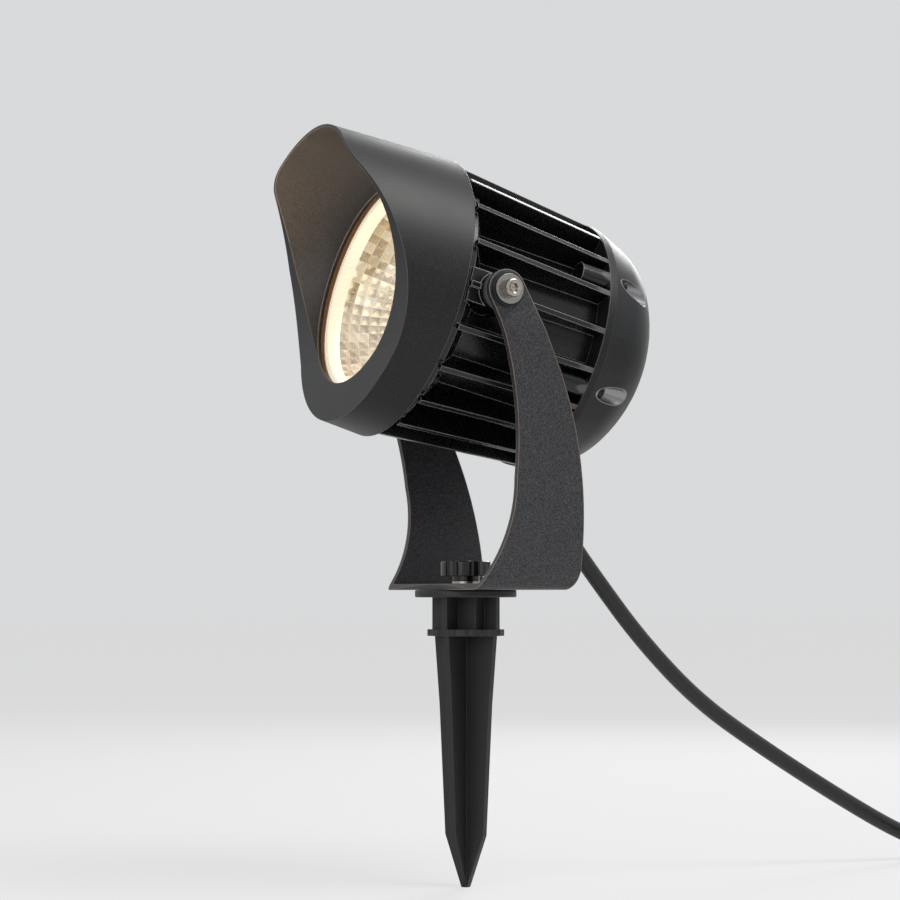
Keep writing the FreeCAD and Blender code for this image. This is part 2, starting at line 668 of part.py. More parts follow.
def make_knob_stud():
    """Stud moulded into the knob."""
    bottom = "collar_height + post_height - nut_height - stud_below_nut"
    body = new_body("knob_stud", placed(0, 0, bottom))
    rod = new_sketch(body, "XY_Plane")
    add_circle(rod, 0, 0, "stud_radius")
    top = f"{KNOB_SEAT} + {KNOB_TOTAL} - knob_cover_thickness"
    add_feature(body, "Pad", rod, Length=f"{top} - ({bottom})")


def make_base_washer():
    """Washer between the knob and the base of the yoke."""
    body = new_body("base_washer", placed(0, 0, BASE_TOP))
    ring = new_sketch(body, "XY_Plane")
    add_circle(ring, 0, 0, "base_washer_radius")
    add_circle(ring, 0, 0, "stud_radius + stud_hole_play")
    add_feature(body, "Pad", ring, Length="base_washer_thickness")


# ---------------------------------------------------------------------------------------------
# Yoke
# ---------------------------------------------------------------------------------------------


def make_yoke_bracket():
    """Yoke folded from a strip of sheet, its outline cut from the side."""
    body = new_body("yoke_bracket", placed(0, 0, FLANGE_TOP))
    slope = f"({EYE_FACE} - yoke_base_half_width) / yoke_knee_height"
    across = f"sheet_thickness * sqrt(1 + ({slope}) * ({slope}))"
    top = "pivot_height + eye_radius + sheet_thickness"
    inner_base = f"yoke_base_half_width + sheet_thickness * ({slope}) - {across}"
    inner_eye = ARM_INNER
    inner_knee = f"({inner_eye} - yoke_base_half_width + {across}) / ({slope})"
    right = [("yoke_base_half_width", "0"), (EYE_FACE, "yoke_knee_height"),
             (EYE_FACE, top), (inner_eye, top), (inner_eye, inner_knee),
             (inner_base, "sheet_thickness")]
    left = [(f"-({x})", z) for x, z in reversed(right)]
    strip = new_sketch(body, "XZ_Plane")
    add_outline(strip, right + left)
    depth = "2 * (arm_back_low_y + base_front)"
    add_feature(body, "Pad", strip, Length=depth, SideType="Symmetric")
    outer_corner = number("yoke_base_half_width")
    inner_corner = number(inner_base)
    round_edges(body, "yoke_fold_radius", lambda e: runs_along_y(e, outer_corner, 0.0))
    round_edges(body, "yoke_fold_radius - sheet_thickness",
                lambda e: runs_along_y(e, inner_corner, number("sheet_thickness")))
    outer_knee = number(EYE_FACE)
    round_edges(body, "yoke_knee_radius - sheet_thickness",
                lambda e: runs_along_y(e, outer_knee, number("yoke_knee_height")))
    round_edges(body, "yoke_knee_radius",
                lambda e: runs_along_y(e, number(inner_eye), number(inner_knee)))
    side = new_sketch(body, "YZ_Plane")
    margin = f"{CUT_MARGIN} * (arm_back_low_y + base_front)"
    add_outline(side, [(f"-({margin})", f"-({margin})"), (margin, f"-({margin})"),
                       (margin, f"2 * ({top})"), (f"-({margin})", f"2 * ({top})")])
    add_outline(side, [
        ("arm_back_base_y", "0"),
        ("arm_back_low_y", "arm_back_low_height", "arm_back_corner_y", "arm_back_corner_height"),
        ("arm_back_high_y", "arm_back_high_height", "arm_back_middle_y", "arm_back_middle_height"),
        ("arm_back_eye_y", "arm_back_eye_height"),
        ("arm_front_eye_y", "arm_front_eye_height",
         f"-pivot_offset - eye_radius * {EYE_ARC_FORWARD}",
         f"pivot_height + eye_radius * {EYE_ARC_RISE}"),
        ("arm_front_middle_y", "arm_front_middle_height",
         "arm_front_high_y", "arm_front_high_height"),
        ("-base_front", "0", "arm_front_low_y", "arm_front_low_height"),
    ])
    cut_checked(body, "Pocket", side, Type=1, SideType="Symmetric")
    waist = new_sketch(body, "XY_Plane")
    reach = "yoke_base_half_width - yoke_fold_radius"
    add_outline(waist, [(reach, "-base_front"),
                        (f"-({reach})", "-base_front", "0", "-base_front + base_front_waist")])
    cut_checked(body, "Pocket", waist, Length="sheet_thickness", Reversed=True)
    hole = new_sketch(body, "XY_Plane")
    add_circle(hole, 0, 0, "stud_radius + stud_hole_play")
    cut_checked(body, "Pocket", hole, Length="sheet_thickness", Reversed=True)
    eyes = new_sketch(body, "YZ_Plane")
    add_circle(eyes, "-pivot_offset", "pivot_height", "pivot_screw_radius + washer_play")
    cut_checked(body, "Pocket", eyes, Type=1, SideType="Symmetric")


def runs_along_y(edge, half_width, height):
    """Tell whether an edge is a straight fold line at a half width and height."""
    vertices = edge.Vertexes
    if len(vertices) != 2:
        return False
    at_place = all(abs(abs(v.X) - half_width) < 1e-3 and abs(v.Z - height) < 1e-3 for v in vertices)
    return at_place and abs(vertices[0].Y - vertices[1].Y) > SHORT_EDGE


# ---------------------------------------------------------------------------------------------
# Tilt pivots: washers and screws, one set on each arm
# ---------------------------------------------------------------------------------------------


def pivot_pair(label, make_one):
    """Build a piece for the right arm and its mirror image for the left one."""
    right = make_one()
    left = right.mirror(FreeCAD.Vector(0, 0, 0), FreeCAD.Vector(1, 0, 0))
    base = FreeCAD.Placement(lamp_placement())
    return new_shape(label, Part.Compound([right, left]), base)


def ring_on_pivot(radius, start, thickness):
    """Washer on the pivot screw, starting at a distance from the middle."""
    axis = FreeCAD.Vector(1, 0, 0)
    base = FreeCAD.Vector(number(start), 0, 0)
    disc = Part.makeCylinder(number(radius), number(thickness), base, axis)
    hole = Part.makeCylinder(number("pivot_screw_radius + washer_play"), number(thickness), base, axis)
    return disc.cut(hole)


HEAD_SEAT = f"{EYE_FACE} + black_washer_thickness + steel_washer_thickness"


def cylinder_screw(shank_radius, shank_length, head_radius, head_height, seat, direction, across, depth):
    """Socket screw: seat is the underside of its head, direction points from shank to head."""
    shank = Part.makeCylinder(shank_radius, shank_length, seat - direction * shank_length, direction)
    head = Part.makeCylinder(head_radius, head_height, seat, direction)
    corner = across / math.sqrt(3)
    helper = direction.cross(FreeCAD.Vector(0, 0, 1))
    if helper.Length < SHORT_HELPER:
        helper = direction.cross(FreeCAD.Vector(1, 0, 0))
    helper.normalize()
    other = direction.cross(helper)
    floor = seat + direction * (head_height - depth)
    corners = []
    for index in range(HEX_CORNERS + 1):
        angle = math.radians(FULL_TURN / HEX_CORNERS * index)
        corners.append(floor + (helper * math.cos(angle) + other * math.sin(angle)) * corner)
    socket = Part.Face(Part.makePolygon(corners)).extrude(direction * depth)
    return shank.fuse(head).cut(socket).removeSplitter()


def make_pivot_screw():
    """Screw of the right arm; its head stands on the steel washer."""
    return cylinder_screw(number("pivot_screw_radius"), number("pivot_screw_length"),
                          number("pivot_head_radius"), number("pivot_head_height"),
                          FreeCAD.Vector(number(HEAD_SEAT), 0, 0), FreeCAD.Vector(1, 0, 0),
                          number("hex_socket_across"), number("hex_socket_depth"))


def make_pivots():
    """Screws and washers of both tilt pivots."""
    pivot_pair("pivot_screws", make_pivot_screw)
    pivot_pair("pivot_steel_washers", lambda: ring_on_pivot(
        "steel_washer_radius", f"{EYE_FACE} + black_washer_thickness",
        "steel_washer_thickness"))
    pivot_pair("pivot_black_washers", lambda: ring_on_pivot(
        "black_washer_radius", EYE_FACE, "black_washer_thickness"))
    pivot_pair("tilt_friction_washers", lambda: ring_on_pivot(
        "friction_washer_radius", f"{ARM_INNER} - friction_washer_thickness",
        "friction_washer_thickness"))


# ---------------------------------------------------------------------------------------------
# Lamp head: finned body
# ---------------------------------------------------------------------------------------------


def make_heatsink_body():
    """Finned body with its cavities, ring, spigot, pivot pads and screw bosses."""
    body = lamp_body("heatsink_body")
    ring_rear = "hood_rear - body_ring_thickness"
    turned_piece(body, [
        ("front_cavity_radius", "spigot_front"),
        ("spigot_radius", "spigot_front"),
        ("spigot_radius", "hood_rear"),
        ("body_ring_radius", "hood_rear"),
        ("body_ring_radius", ring_rear),
        ("core_radius", f"{ring_rear} - body_ring_slope"),
        ("core_radius", "-body_rear"),
        ("rear_cavity_radius", "-body_rear"),
        ("rear_cavity_radius", "led_floor - led_floor_thickness"),
        ("0", "led_floor - led_floor_thickness"),
        ("0", "led_floor"),
        ("led_floor_radius", "led_floor"),
        ("front_cavity_radius", "front_cavity_straight"),
    ])
    fin = new_sketch(body, "XY_Plane")
    root = "core_radius - fin_thickness / 2"
    add_outline(fin, [(root, "-fin_front"), ("fin_front_radius", "-fin_front"),
                      ("fin_rear_radius", "body_rear"), (root, "body_rear")])
    blade = add_feature(body, "Pad", fin, Length="fin_thickness", SideType="Symmetric")
    polar_copies(body, blade, fin, "V_Axis", "fin_count")
    bosses = cross_sketch(body, "-body_rear")
    add_spots(bosses, screw_spots("cap_screw_circle", "cap_screw_angle"), "cap_boss_radius")
    add_feature(body, "Pad", bosses, Length="cap_boss_length")
    for side in (1, -1):
        pad = new_sketch(body, "XY_Plane")
        reach = f"{side} * ({ARM_INNER} - pivot_pad_gap)"
        inner = f"{side} * core_radius"
        add_outline(pad, [(inner, "-fin_front"), (reach, "-fin_front"),
                          (reach, "pivot_pad_rear"), (inner, "pivot_pad_rear")])
        add_feature(body, "Pad", pad, Length="2 * pivot_pad_half_height", SideType="Symmetric")
        boss = new_sketch(body, "YZ_Plane", raised(f"{side} * (core_radius - sheet_thickness)"))
        add_circle(boss, 0, 0, "pivot_boss_radius")
        length = f"{ARM_INNER} - friction_washer_thickness - core_radius + sheet_thickness"
        add_feature(body, "Pad", boss, Length=length, Reversed=(side < 0))
        bore = new_sketch(body, "YZ_Plane", raised(f"{side} * ({ARM_INNER})"))
        add_circle(bore, 0, 0, "pivot_screw_radius + screw_fit")
        depth = "pivot_screw_length - black_washer_thickness - steel_washer_thickness - sheet_thickness"
        cut_checked(body, "Pocket", bore, Length=f"{depth} + screw_fit", Reversed=(side < 0))
    cap_holes = cross_sketch(body, "-body_rear")
    add_spots(cap_holes, screw_spots("cap_screw_circle", "cap_screw_angle"),
              "cap_screw_radius + screw_fit")
    cut_checked(body, "Pocket", cap_holes,
                Length="cap_screw_length - cap_screw_floor + screw_fit", Reversed=True)
    hood_holes = cross_sketch(body, "hood_rear")
    add_spots(hood_holes, screw_spots("hood_screw_circle", "hood_screw_angle"),
              "hood_screw_radius + hood_screw_play")
    cut_checked(body, "Pocket", hood_holes, Length="body_ring_thickness")
    head_room = cross_sketch(body, ring_rear)
    add_spots(head_room, screw_spots("hood_screw_circle", "hood_screw_angle"),
              "hood_screw_head_radius + hood_screw_play")
    cut_checked(body, "Pocket", head_room, Length="body_ring_slope")
    wires = cross_sketch(body, "led_floor")
    add_circle(wires, 0, "wire_hole_offset", "wire_hole_radius")
    cut_checked(body, "Pocket", wires, Length="led_floor_thickness")
    holder_holes = cross_sketch(body, "led_floor")
    for side in (1, -1):
        add_circle(holder_holes, f"{side} * holder_screw_circle", 0, "holder_screw_radius + screw_fit")
    cut_checked(body, "Pocket", holder_holes,
                Length="holder_screw_length - holder_height + screw_fit")


# ---------------------------------------------------------------------------------------------
# Lamp head: hood with its visor, glass and gasket
# ---------------------------------------------------------------------------------------------


def make_glare_hood():
    """Hood with its lip and visor, open at the sides and below."""
    body = lamp_body("glare_hood")
    bore = "spigot_radius + hood_fit"
    taper = "(hood_rear_radius - hood_tip_radius) / (hood_tip - hood_rear)"
    pocket_end = "hood_rear + hood_pocket_depth"
    turned_piece(body, [
        ("hood_rear_radius", "hood_rear"),
        ("hood_tip_radius", "hood_tip"),
        ("hood_tip_inner_radius", "hood_tip"),
        ("aperture_radius", "hood_face", "hood_throat_radius", "hood_throat"),
        ("aperture_radius", "hood_face - hood_lip"),
        (bore, "hood_face - hood_lip"),
        (bore, "hood_rear"),
        ("hood_collar_radius", "hood_rear"),
        ("hood_collar_radius", pocket_end),
        (f"hood_rear_radius - hood_shell - hood_pocket_depth * {taper}", pocket_end),
        ("hood_rear_radius - hood_shell", "hood_rear"),
    ])
    side = new_sketch(body, "YZ_Plane")
    far = "hood_tip + hood_shell"
    low = "-hood_rear_radius - hood_shell"
    add_outline(side, [
        ("-hood_face", low),
        ("-hood_face", "visor_low_height"),
        ("-visor_middle_reach", "visor_middle_height", "-visor_knee_reach", "visor_knee_height"),
        ("-visor_corner_reach", "visor_corner_height", "-visor_upper_reach", "visor_upper_height"),
        ("-hood_tip", "visor_top_height", "-visor_brow_reach", "visor_brow_height"),
        (f"-({far})", "visor_top_height"),
        (f"-({far})", low),
    ])
    cut_checked(body, "Pocket", side, Type=1, SideType="Symmetric")
    screws = cross_sketch(body, "hood_rear")
    add_spots(screws, screw_spots("hood_screw_circle", "hood_screw_angle"),
              "hood_screw_radius + screw_fit")
    cut_checked(body, "Pocket", screws,
                Length="hood_screw_length - body_ring_thickness + screw_fit", Reversed=True)


def make_front_glass():
    """Tempered glass with ground edges."""
    body = lamp_body("front_glass")
    front = "hood_face - hood_lip - gasket_front_wall"
    radius = "glass_radius - seal_fit"
    turned_piece(body, [
        ("0", front),
        (f"{radius} - glass_chamfer", front),
        (radius, f"{front} - glass_chamfer"),
        (radius, f"{front} - glass_thickness + glass_chamfer"),
        (f"{radius} - glass_chamfer", f"{front} - glass_thickness"),
        ("0", f"{front} - glass_thickness"),
    ])


def make_lens_gasket():
    """Gasket that wraps the edge of the glass."""
    body = lamp_body("lens_gasket")
    front = "hood_face - hood_lip"
    outer = "spigot_radius + hood_fit - seal_fit"
    turned_piece(body, [
        ("gasket_inner_radius", "spigot_front"),
        (outer, "spigot_front"),
        (outer, front),
        ("gasket_inner_radius", front),
        ("gasket_inner_radius", f"{front} - gasket_front_wall"),
        ("glass_radius", f"{front} - gasket_front_wall"),
        ("glass_radius", f"{front} - gasket_front_wall - glass_thickness"),
        ("gasket_inner_radius", f"{front} - gasket_front_wall - glass_thickness"),
    ])


# ---------------------------------------------------------------------------------------------
# Lamp head: reflector and light engine
# ---------------------------------------------------------------------------------------------


def make_reflector():
    """Spun reflector with its flange and plain rim band."""
    body = lamp_body("reflector")
    seat = "spigot_front"
    foot = "led_floor + holder_height"
    rim = "reflector_rim_radius + reflector_wall"
    turned_piece(body, [
        ("reflector_rim_radius", f"{seat} + reflector_wall"),
        ("reflector_flange_radius", f"{seat} + reflector_wall"),
        ("reflector_flange_radius", seat),
        (rim, seat),
        (rim, f"{seat} - reflector_band"),
        ("reflector_hole_radius + reflector_wall", foot,
         "reflector_middle_radius + reflector_wall", "reflector_middle - reflector_wall"),
        ("reflector_hole_radius", foot),
        ("reflector_rim_radius", f"{seat} - reflector_band",
         "reflector_middle_radius", "reflector_middle"),
    ])


def make_led_holder():
    """Ring that clamps the light engine to the body."""
    body = lamp_body("led_holder")
    top = "led_floor + holder_height"
    turned_piece(body, [
        ("led_board_radius + seal_fit", "led_floor"),
        ("holder_radius", "led_floor"),
        ("holder_radius", top),
        ("holder_window_radius", top),
        ("holder_window_radius", f"{top} - holder_lip"),
        ("led_board_radius + seal_fit", f"{top} - holder_lip"),
    ])
    holes = cross_sketch(body, top)
    for side in (1, -1):
        add_circle(holes, f"{side} * holder_screw_circle", 0, "holder_screw_radius + screw_fit")
    cut_checked(body, "Pocket", holes, Length="holder_height")


def make_led_board():
    """Board of the light engine."""
    body = lamp_body("led_board")
    turned_piece(body, [
        ("0", "led_floor"),
        ("led_board_radius", "led_floor"),
        ("led_board_radius", "led_floor + led_board_thickness"),
        ("0", "led_floor + led_board_thickness"),
    ])


def make_led_emitter():
    """Emitting surface in the middle of the board."""
    body = lamp_body("led_emitter")
    base = "led_floor + led_board_thickness"
    turned_piece(body, [
        ("0", base),
        ("led_emitter_radius", base),
        ("led_emitter_radius", f"{base} + led_emitter_height"),
        ("0", f"{base} + led_emitter_height"),
    ])


def make_led_driver():
    """Driver in its case, in the rear compartment."""
    body = lamp_body("led_driver")
    case = cross_sketch(body, "led_floor - led_floor_thickness")
    add_outline(case, [("-driver_width / 2", "-driver_height / 2"),
                       ("driver_width / 2", "-driver_height / 2"),
                       ("driver_width / 2", "driver_height / 2"),
                       ("-driver_width / 2", "driver_height / 2")])
    add_feature(body, "Pad", case, Length="driver_length", Reversed=True)
    half_width = number("driver_width / 2")
    round_edges(body, "driver_corner_radius",
                lambda e: len(e.Vertexes) == 2
                and all(abs(abs(v.X) - half_width) < 1e-3 for v in e.Vertexes)
                and abs(e.Vertexes[0].Y - e.Vertexes[1].Y) > SHORT_EDGE)


# ---------------------------------------------------------------------------------------------
# Lamp head: rear cap, its gasket and screws
# ---------------------------------------------------------------------------------------------

CROWN_RISE = "(cap_depth - cap_crown_depth)"
CROWN_SQUARES = f"(cap_crown_radius * cap_crown_radius + {CROWN_RISE} * {CROWN_RISE})"
CROWN_RADIUS = f"({CROWN_SQUARES} / (2 * {CROWN_RISE}))"


def crown_via(reach, thickness):
    """Point on the round crown, or on its inside, at a distance from the lamp axis."""
    radius = f"({CROWN_RADIUS} - {thickness})"
    fall = f"({radius} - sqrt({radius} * {radius} - ({reach}) * ({reach})))"
    return reach, f"-body_rear - cap_depth + {thickness} + {fall}"


DOME = [("cap_radius", "-body_rear - cap_rim_depth"),
        ("cap_slope_radius", "-body_rear - cap_slope_depth"),
        ("cap_crown_radius", "-body_rear - cap_crown_depth",
         "cap_shoulder_radius", "-body_rear - cap_shoulder_depth"),
        ("0", "-body_rear - cap_depth", *crown_via("cap_crown_radius / 2", "0"))]


def make_rear_cap():
    """Domed cap with its sealing land, screw pockets and gland boss."""
    body = lamp_body("rear_cap")
    land_face = "-body_rear - cap_gasket_thickness"
    land_edge = "rear_cavity_radius + seal_ring_width"
    inner = "cap_crown_radius - cap_wall"
    turned_piece(body, [("0", "-body_rear - cap_depth + cap_wall"),
                        (*crown_via(inner, "cap_wall"), *crown_via(f"({inner}) / 2", "cap_wall")),
                        ("rear_cavity_radius", "-body_rear - cap_shoulder_depth"),
                        ("rear_cavity_radius", land_face),
                        (land_edge, land_face), (land_edge, "-body_rear"),
                        ("cap_radius", "-body_rear")] + DOME)
    seat = placed(0, "gland_station", "-gland_drop", (1, 0, 0), "180 + gland_lean")
    boss = new_sketch(body, "XY_Plane", seat.multiply(raised("gland_seat")))
    add_circle(boss, 0, 0, "gland_boss_radius")
    add_feature(body, "Pad", boss, Length="gland_seat + gland_thread_length", Reversed=True)
    pockets = cross_sketch(body, "-body_rear - cap_screw_floor")
    add_spots(pockets, screw_spots("cap_screw_circle", "cap_screw_angle"), "cap_screw_pocket_radius")
    cut_checked(body, "Pocket", pockets, Length="cap_depth", Reversed=False)
    holes = cross_sketch(body, "-body_rear")
    add_spots(holes, screw_spots("cap_screw_circle", "cap_screw_angle"),
              "cap_screw_radius + hood_screw_play")
    cut_checked(body, "Pocket", holes, Length="cap_screw_floor")
    bore = new_sketch(body, "XY_Plane", seat)
    add_circle(bore, 0, 0, "gland_thread_radius + screw_fit")
    depth = f"gland_thread_length * {BORE_MARGIN}"
    cut_checked(body, "Pocket", bore, Length=depth, SideType="Symmetric")


def make_cap_gasket():
    """Flat gasket between body and cap."""
    body = lamp_body("cap_gasket")
    inner = "rear_cavity_radius + cap_gasket_margin"
    outer = "rear_cavity_radius + seal_ring_width - cap_gasket_margin"
    rear = "-body_rear - cap_gasket_thickness"
    turned_piece(body, [(inner, rear), (outer, rear), (outer, "-body_rear"), (inner, "-body_rear")])


def screw_set(label, circle, angle, seat_station, screw, towards_rear):
    """Four equal screws of the lamp head as one node."""
    direction = FreeCAD.Vector(0, 1 if towards_rear else -1, 0)
    screws = []
    for x, z in screw_spots(circle, angle):
        seat = FreeCAD.Vector(number(x), -number(seat_station), number(z))
        screws.append(cylinder_screw(*screw, seat, direction, number("hex_socket_across") * LAMP_SOCKET,
                                     number("hex_socket_depth") * LAMP_SOCKET))
    new_shape(label, Part.Compound(screws), lamp_placement())


def make_lamp_screws():
    """Screws of the cap, the hood and the light engine holder."""
    screw_set("cap_screws", "cap_screw_circle", "cap_screw_angle",
              "-body_rear - cap_screw_floor",
              (number("cap_screw_radius"), number("cap_screw_length"),
               number("cap_screw_head_radius"), number("cap_screw_head_height")), True)
    screw_set("hood_screws", "hood_screw_circle", "hood_screw_angle",
              "hood_rear - body_ring_thickness",
              (number("hood_screw_radius"), number("hood_screw_length"),
               number("hood_screw_head_radius"), number("hood_screw_head_height")), True)
    screws = []
    for side in (1, -1):
        seat = FreeCAD.Vector(side * number("holder_screw_circle"),
                              -number("led_floor + holder_height"), 0)
        screws.append(cylinder_screw(number("holder_screw_radius"), number("holder_screw_length"),
                                     number("holder_screw_head_radius"),
                                     number("holder_screw_head_height"), seat,
                                     FreeCAD.Vector(0, -1, 0),
                                     number("hex_socket_across") * HOLDER_SOCKET_WIDTH,
                                     number("hex_socket_depth") * HOLDER_SOCKET_DEPTH))
    new_shape("holder_screws", Part.Compound(screws), lamp_placement())


# ---------------------------------------------------------------------------------------------
# Cable gland
# ---------------------------------------------------------------------------------------------


def gland_placement():
    """Frame of the gland: origin on its seat, +Z along the cable as it leaves."""
    local = placed(0, "gland_station", "-gland_drop", (1, 0, 0), "180 + gland_lean")
    return lamp_placement().multiply(local).multiply(raised("gland_seat"))


def make_gland():
    """Cable gland: body, sealing nut with its sleeve, and rubber bush."""
    body = new_body("gland_body", gland_placement())
    thread = new_sketch(body, "XY_Plane", raised("-gland_thread_length"))
    add_circle(thread, 0, 0, "gland_thread_radius")
    add_feature(body, "Pad", thread, Length="gland_thread_length + gland_hex_height")
    hexagon = new_sketch(body, "XY_Plane")
    add_hexagon(hexagon, "gland_across_flats")
    add_feature(body, "Pad", hexagon, Length="gland_hex_height")
    neck = new_sketch(body, "XY_Plane", raised("gland_hex_height"))
    add_circle(neck, 0, 0, "gland_neck_radius")
    add_feature(body, "Pad", neck, Length="gland_neck_length")
    bore = new_sketch(body, "XY_Plane", raised("-gland_thread_length"))
    add_circle(bore, 0, 0, "cable_radius + gland_fit")
    cut_checked(body, "Pocket", bore,
                Length="gland_thread_length + gland_hex_height + gland_neck_length", Reversed=True)
    nut = new_body("gland_nut", gland_placement().multiply(raised("gland_hex_height")))
    outside = new_sketch(nut, "XY_Plane")
    add_circle(outside, 0, 0, "gland_nut_radius")
    add_feature(nut, "Pad", outside, Length="gland_nut_length")
    round_edges(nut, "gland_nut_round", circle_at("gland_nut_radius", "gland_nut_length"))
    inside = new_sketch(nut, "XY_Plane")
    add_circle(inside, 0, 0, "gland_neck_radius + gland_fit")
    cut_checked(nut, "Pocket", inside, Length="gland_nut_length - gland_nut_round", Reversed=True)
    mouth = new_sketch(nut, "XY_Plane")
    add_circle(mouth, 0, 0, "cable_radius + gland_fit")
    cut_checked(nut, "Pocket", mouth, Length="gland_nut_length", Reversed=True)
    sleeve = new_sketch(nut, "XZ_Plane")
    sleeve_root = "gland_nut_length - gland_nut_round"
    sleeve_end = "gland_nut_length + gland_sleeve_length"
    add_outline(sleeve, [("cable_radius + gland_fit", sleeve_root),
                         ("gland_sleeve_root_radius", sleeve_root),
                         ("gland_sleeve_tip_radius", sleeve_end),
                         ("cable_radius + gland_sleeve_flare", sleeve_end),
                         ("cable_radius + gland_fit", "gland_nut_length")])
    add_feature(nut, "Revolution", sleeve)
    start = "gland_hex_height + gland_neck_length"
    seal = new_body("gland_seal", gland_placement().multiply(raised(start)))
    bush = new_sketch(seal, "XY_Plane")
    add_circle(bush, 0, 0, "gland_seal_radius")
    add_circle(bush, 0, 0, "cable_radius + gland_fit")
    add_feature(seal, "Pad", bush,
                Length="gland_nut_length - gland_nut_round - gland_neck_length")


# ---------------------------------------------------------------------------------------------
# Cable, coil and plug
# ---------------------------------------------------------------------------------------------


def arc_path(points, label):
    """Straight runs joined by tangent arcs; each arc is as large as its two runs allow."""
    edges = []
    start = points[0]
    for index in range(1, len(points) - 1):
        corner = points[index]
        back = (points[index - 1] - corner)
        ahead = (points[index + 1] - corner)
        shorter = min(back.Length, ahead.Length)
        turn = math.pi - back.getAngle(ahead)
        reach = ARC_SHARE * shorter
        radius = reach / math.tan(turn / 2)
        print(f"{label}: point {index}, turn {math.degrees(turn):.1f} degrees, radius {radius:.1f}")
        back.normalize()
        ahead.normalize()
        first = corner + back * reach
        last = corner + ahead * reach
        inward = back + ahead
        inward.normalize()
        middle = corner + inward * (radius / math.cos(turn / 2) - radius)
        edges.append(Part.LineSegment(start, first).toShape())
        edges.append(Part.Arc(first, middle, last).toShape())
        start = last
    edges.append(Part.LineSegment(start, points[-1]).toShape())
    return Part.Wire(edges)


def tube_along(wire, label):
    """Cable tube along a wire, its volume compared with section times length."""
    start = wire.OrderedVertexes[0].Point
    direction = wire.OrderedEdges[0].tangentAt(wire.OrderedEdges[0].FirstParameter)
    radius = number("cable_radius")
    section = Part.Wire(Part.Circle(start, direction, radius).toShape())
    tube = wire.makePipeShell([section], True, False)
    expected = math.pi * radius * radius * wire.Length
    print(f"{label}: length {wire.Length:.1f}, volume ratio {tube.Volume / expected:.4f}")
    return tube


def on_cable_plane(pairs):
    """Return the points of a route given as (Y, Z) on the plane through the spike's axis."""
    return [FreeCAD.Vector(0, y, z) for y, z in pairs]


def coil_points():
    """Ends and middles of the coil's half turns, lower layer in, upper layer out."""
    pitch = 2 * number("cable_radius") + number("coil_turn_gap")
    low = number("cable_radius") - number("floor_depth")
    high = low + pitch
    outer = number("coil_outer_radius")
    turns = int(number("coil_half_turns"))
    inward = [outer - pitch / 2 * index for index in range(turns)]
    smallest = outer - pitch / 2 * turns
    outward = [smallest + pitch / 2 * index for index in range(1, turns)]
    centre_y = number("coil_centre_y")
    place = FreeCAD.Vector(number("coil_centre_x") - outer, centre_y, low)
    heading = 1
    arcs = []
    for index, radius in enumerate(inward + [smallest] + outward):
        level = low if index < turns else high
        end = FreeCAD.Vector(place.x + heading * 2 * radius, centre_y, level)
        middle = (place + end) * 0.5
        true_radius = place.distanceToPoint(end) / 2
        middle.y += heading * true_radius
        arcs.append((place, middle, end))
        place = end
        heading = -heading
    return arcs


def make_cable():
    """Free cable, its coil and the lead to the plug."""
    exit_place = gland_placement().multiply(raised("gland_hex_height + gland_nut_length")).Base
    arcs = coil_points()
    entry = arcs[0][0]
    leave = arcs[-1][2]
    lead = FreeCAD.Vector(0, 2 * number("cable_radius"), 0)
    route = [exit_place] + on_cable_plane(CABLE_ROUTE) + [entry - lead]
    free = tube_along(arc_path(route, "power_cord"), "power_cord")
    new_shape("power_cord", free)
    edges = [Part.LineSegment(entry - lead, entry).toShape()]
    edges += [Part.Arc(*arc).toShape() for arc in arcs]
    edges.append(Part.LineSegment(leave, leave + lead).toShape())
    coil_wire = Part.Wire(edges)
    coil = tube_along(coil_wire, "cord_coil")
    new_shape("cord_coil", coil)
    print(f"cord_coil: least gap to itself {least_gap(coil_wire):.2f}")
    plug_axis = number("plug_radius") - number("floor_depth")
    plug_entry = FreeCAD.Vector(leave.x, number("plug_back_y"), plug_axis)
    tail = [leave + lead] + on_cable_plane(PLUG_ROUTE) + [plug_entry]
    new_shape("plug_lead", tube_along(arc_path(tail, "plug_lead"), "plug_lead"))


def least_gap(wire):
    """Smallest air between two turns of the tube, measured on points along its middle."""
    points = wire.discretize(Distance=GAP_STEP)
    skip = int(math.pi * number("coil_outer_radius") / 2 / GAP_STEP)
    nearest = min(points[i].distanceToPoint(points[j])
                  for i in range(0, len(points), 2) for j in range(i + skip, len(points)))
    return nearest - 2 * number("cable_radius")


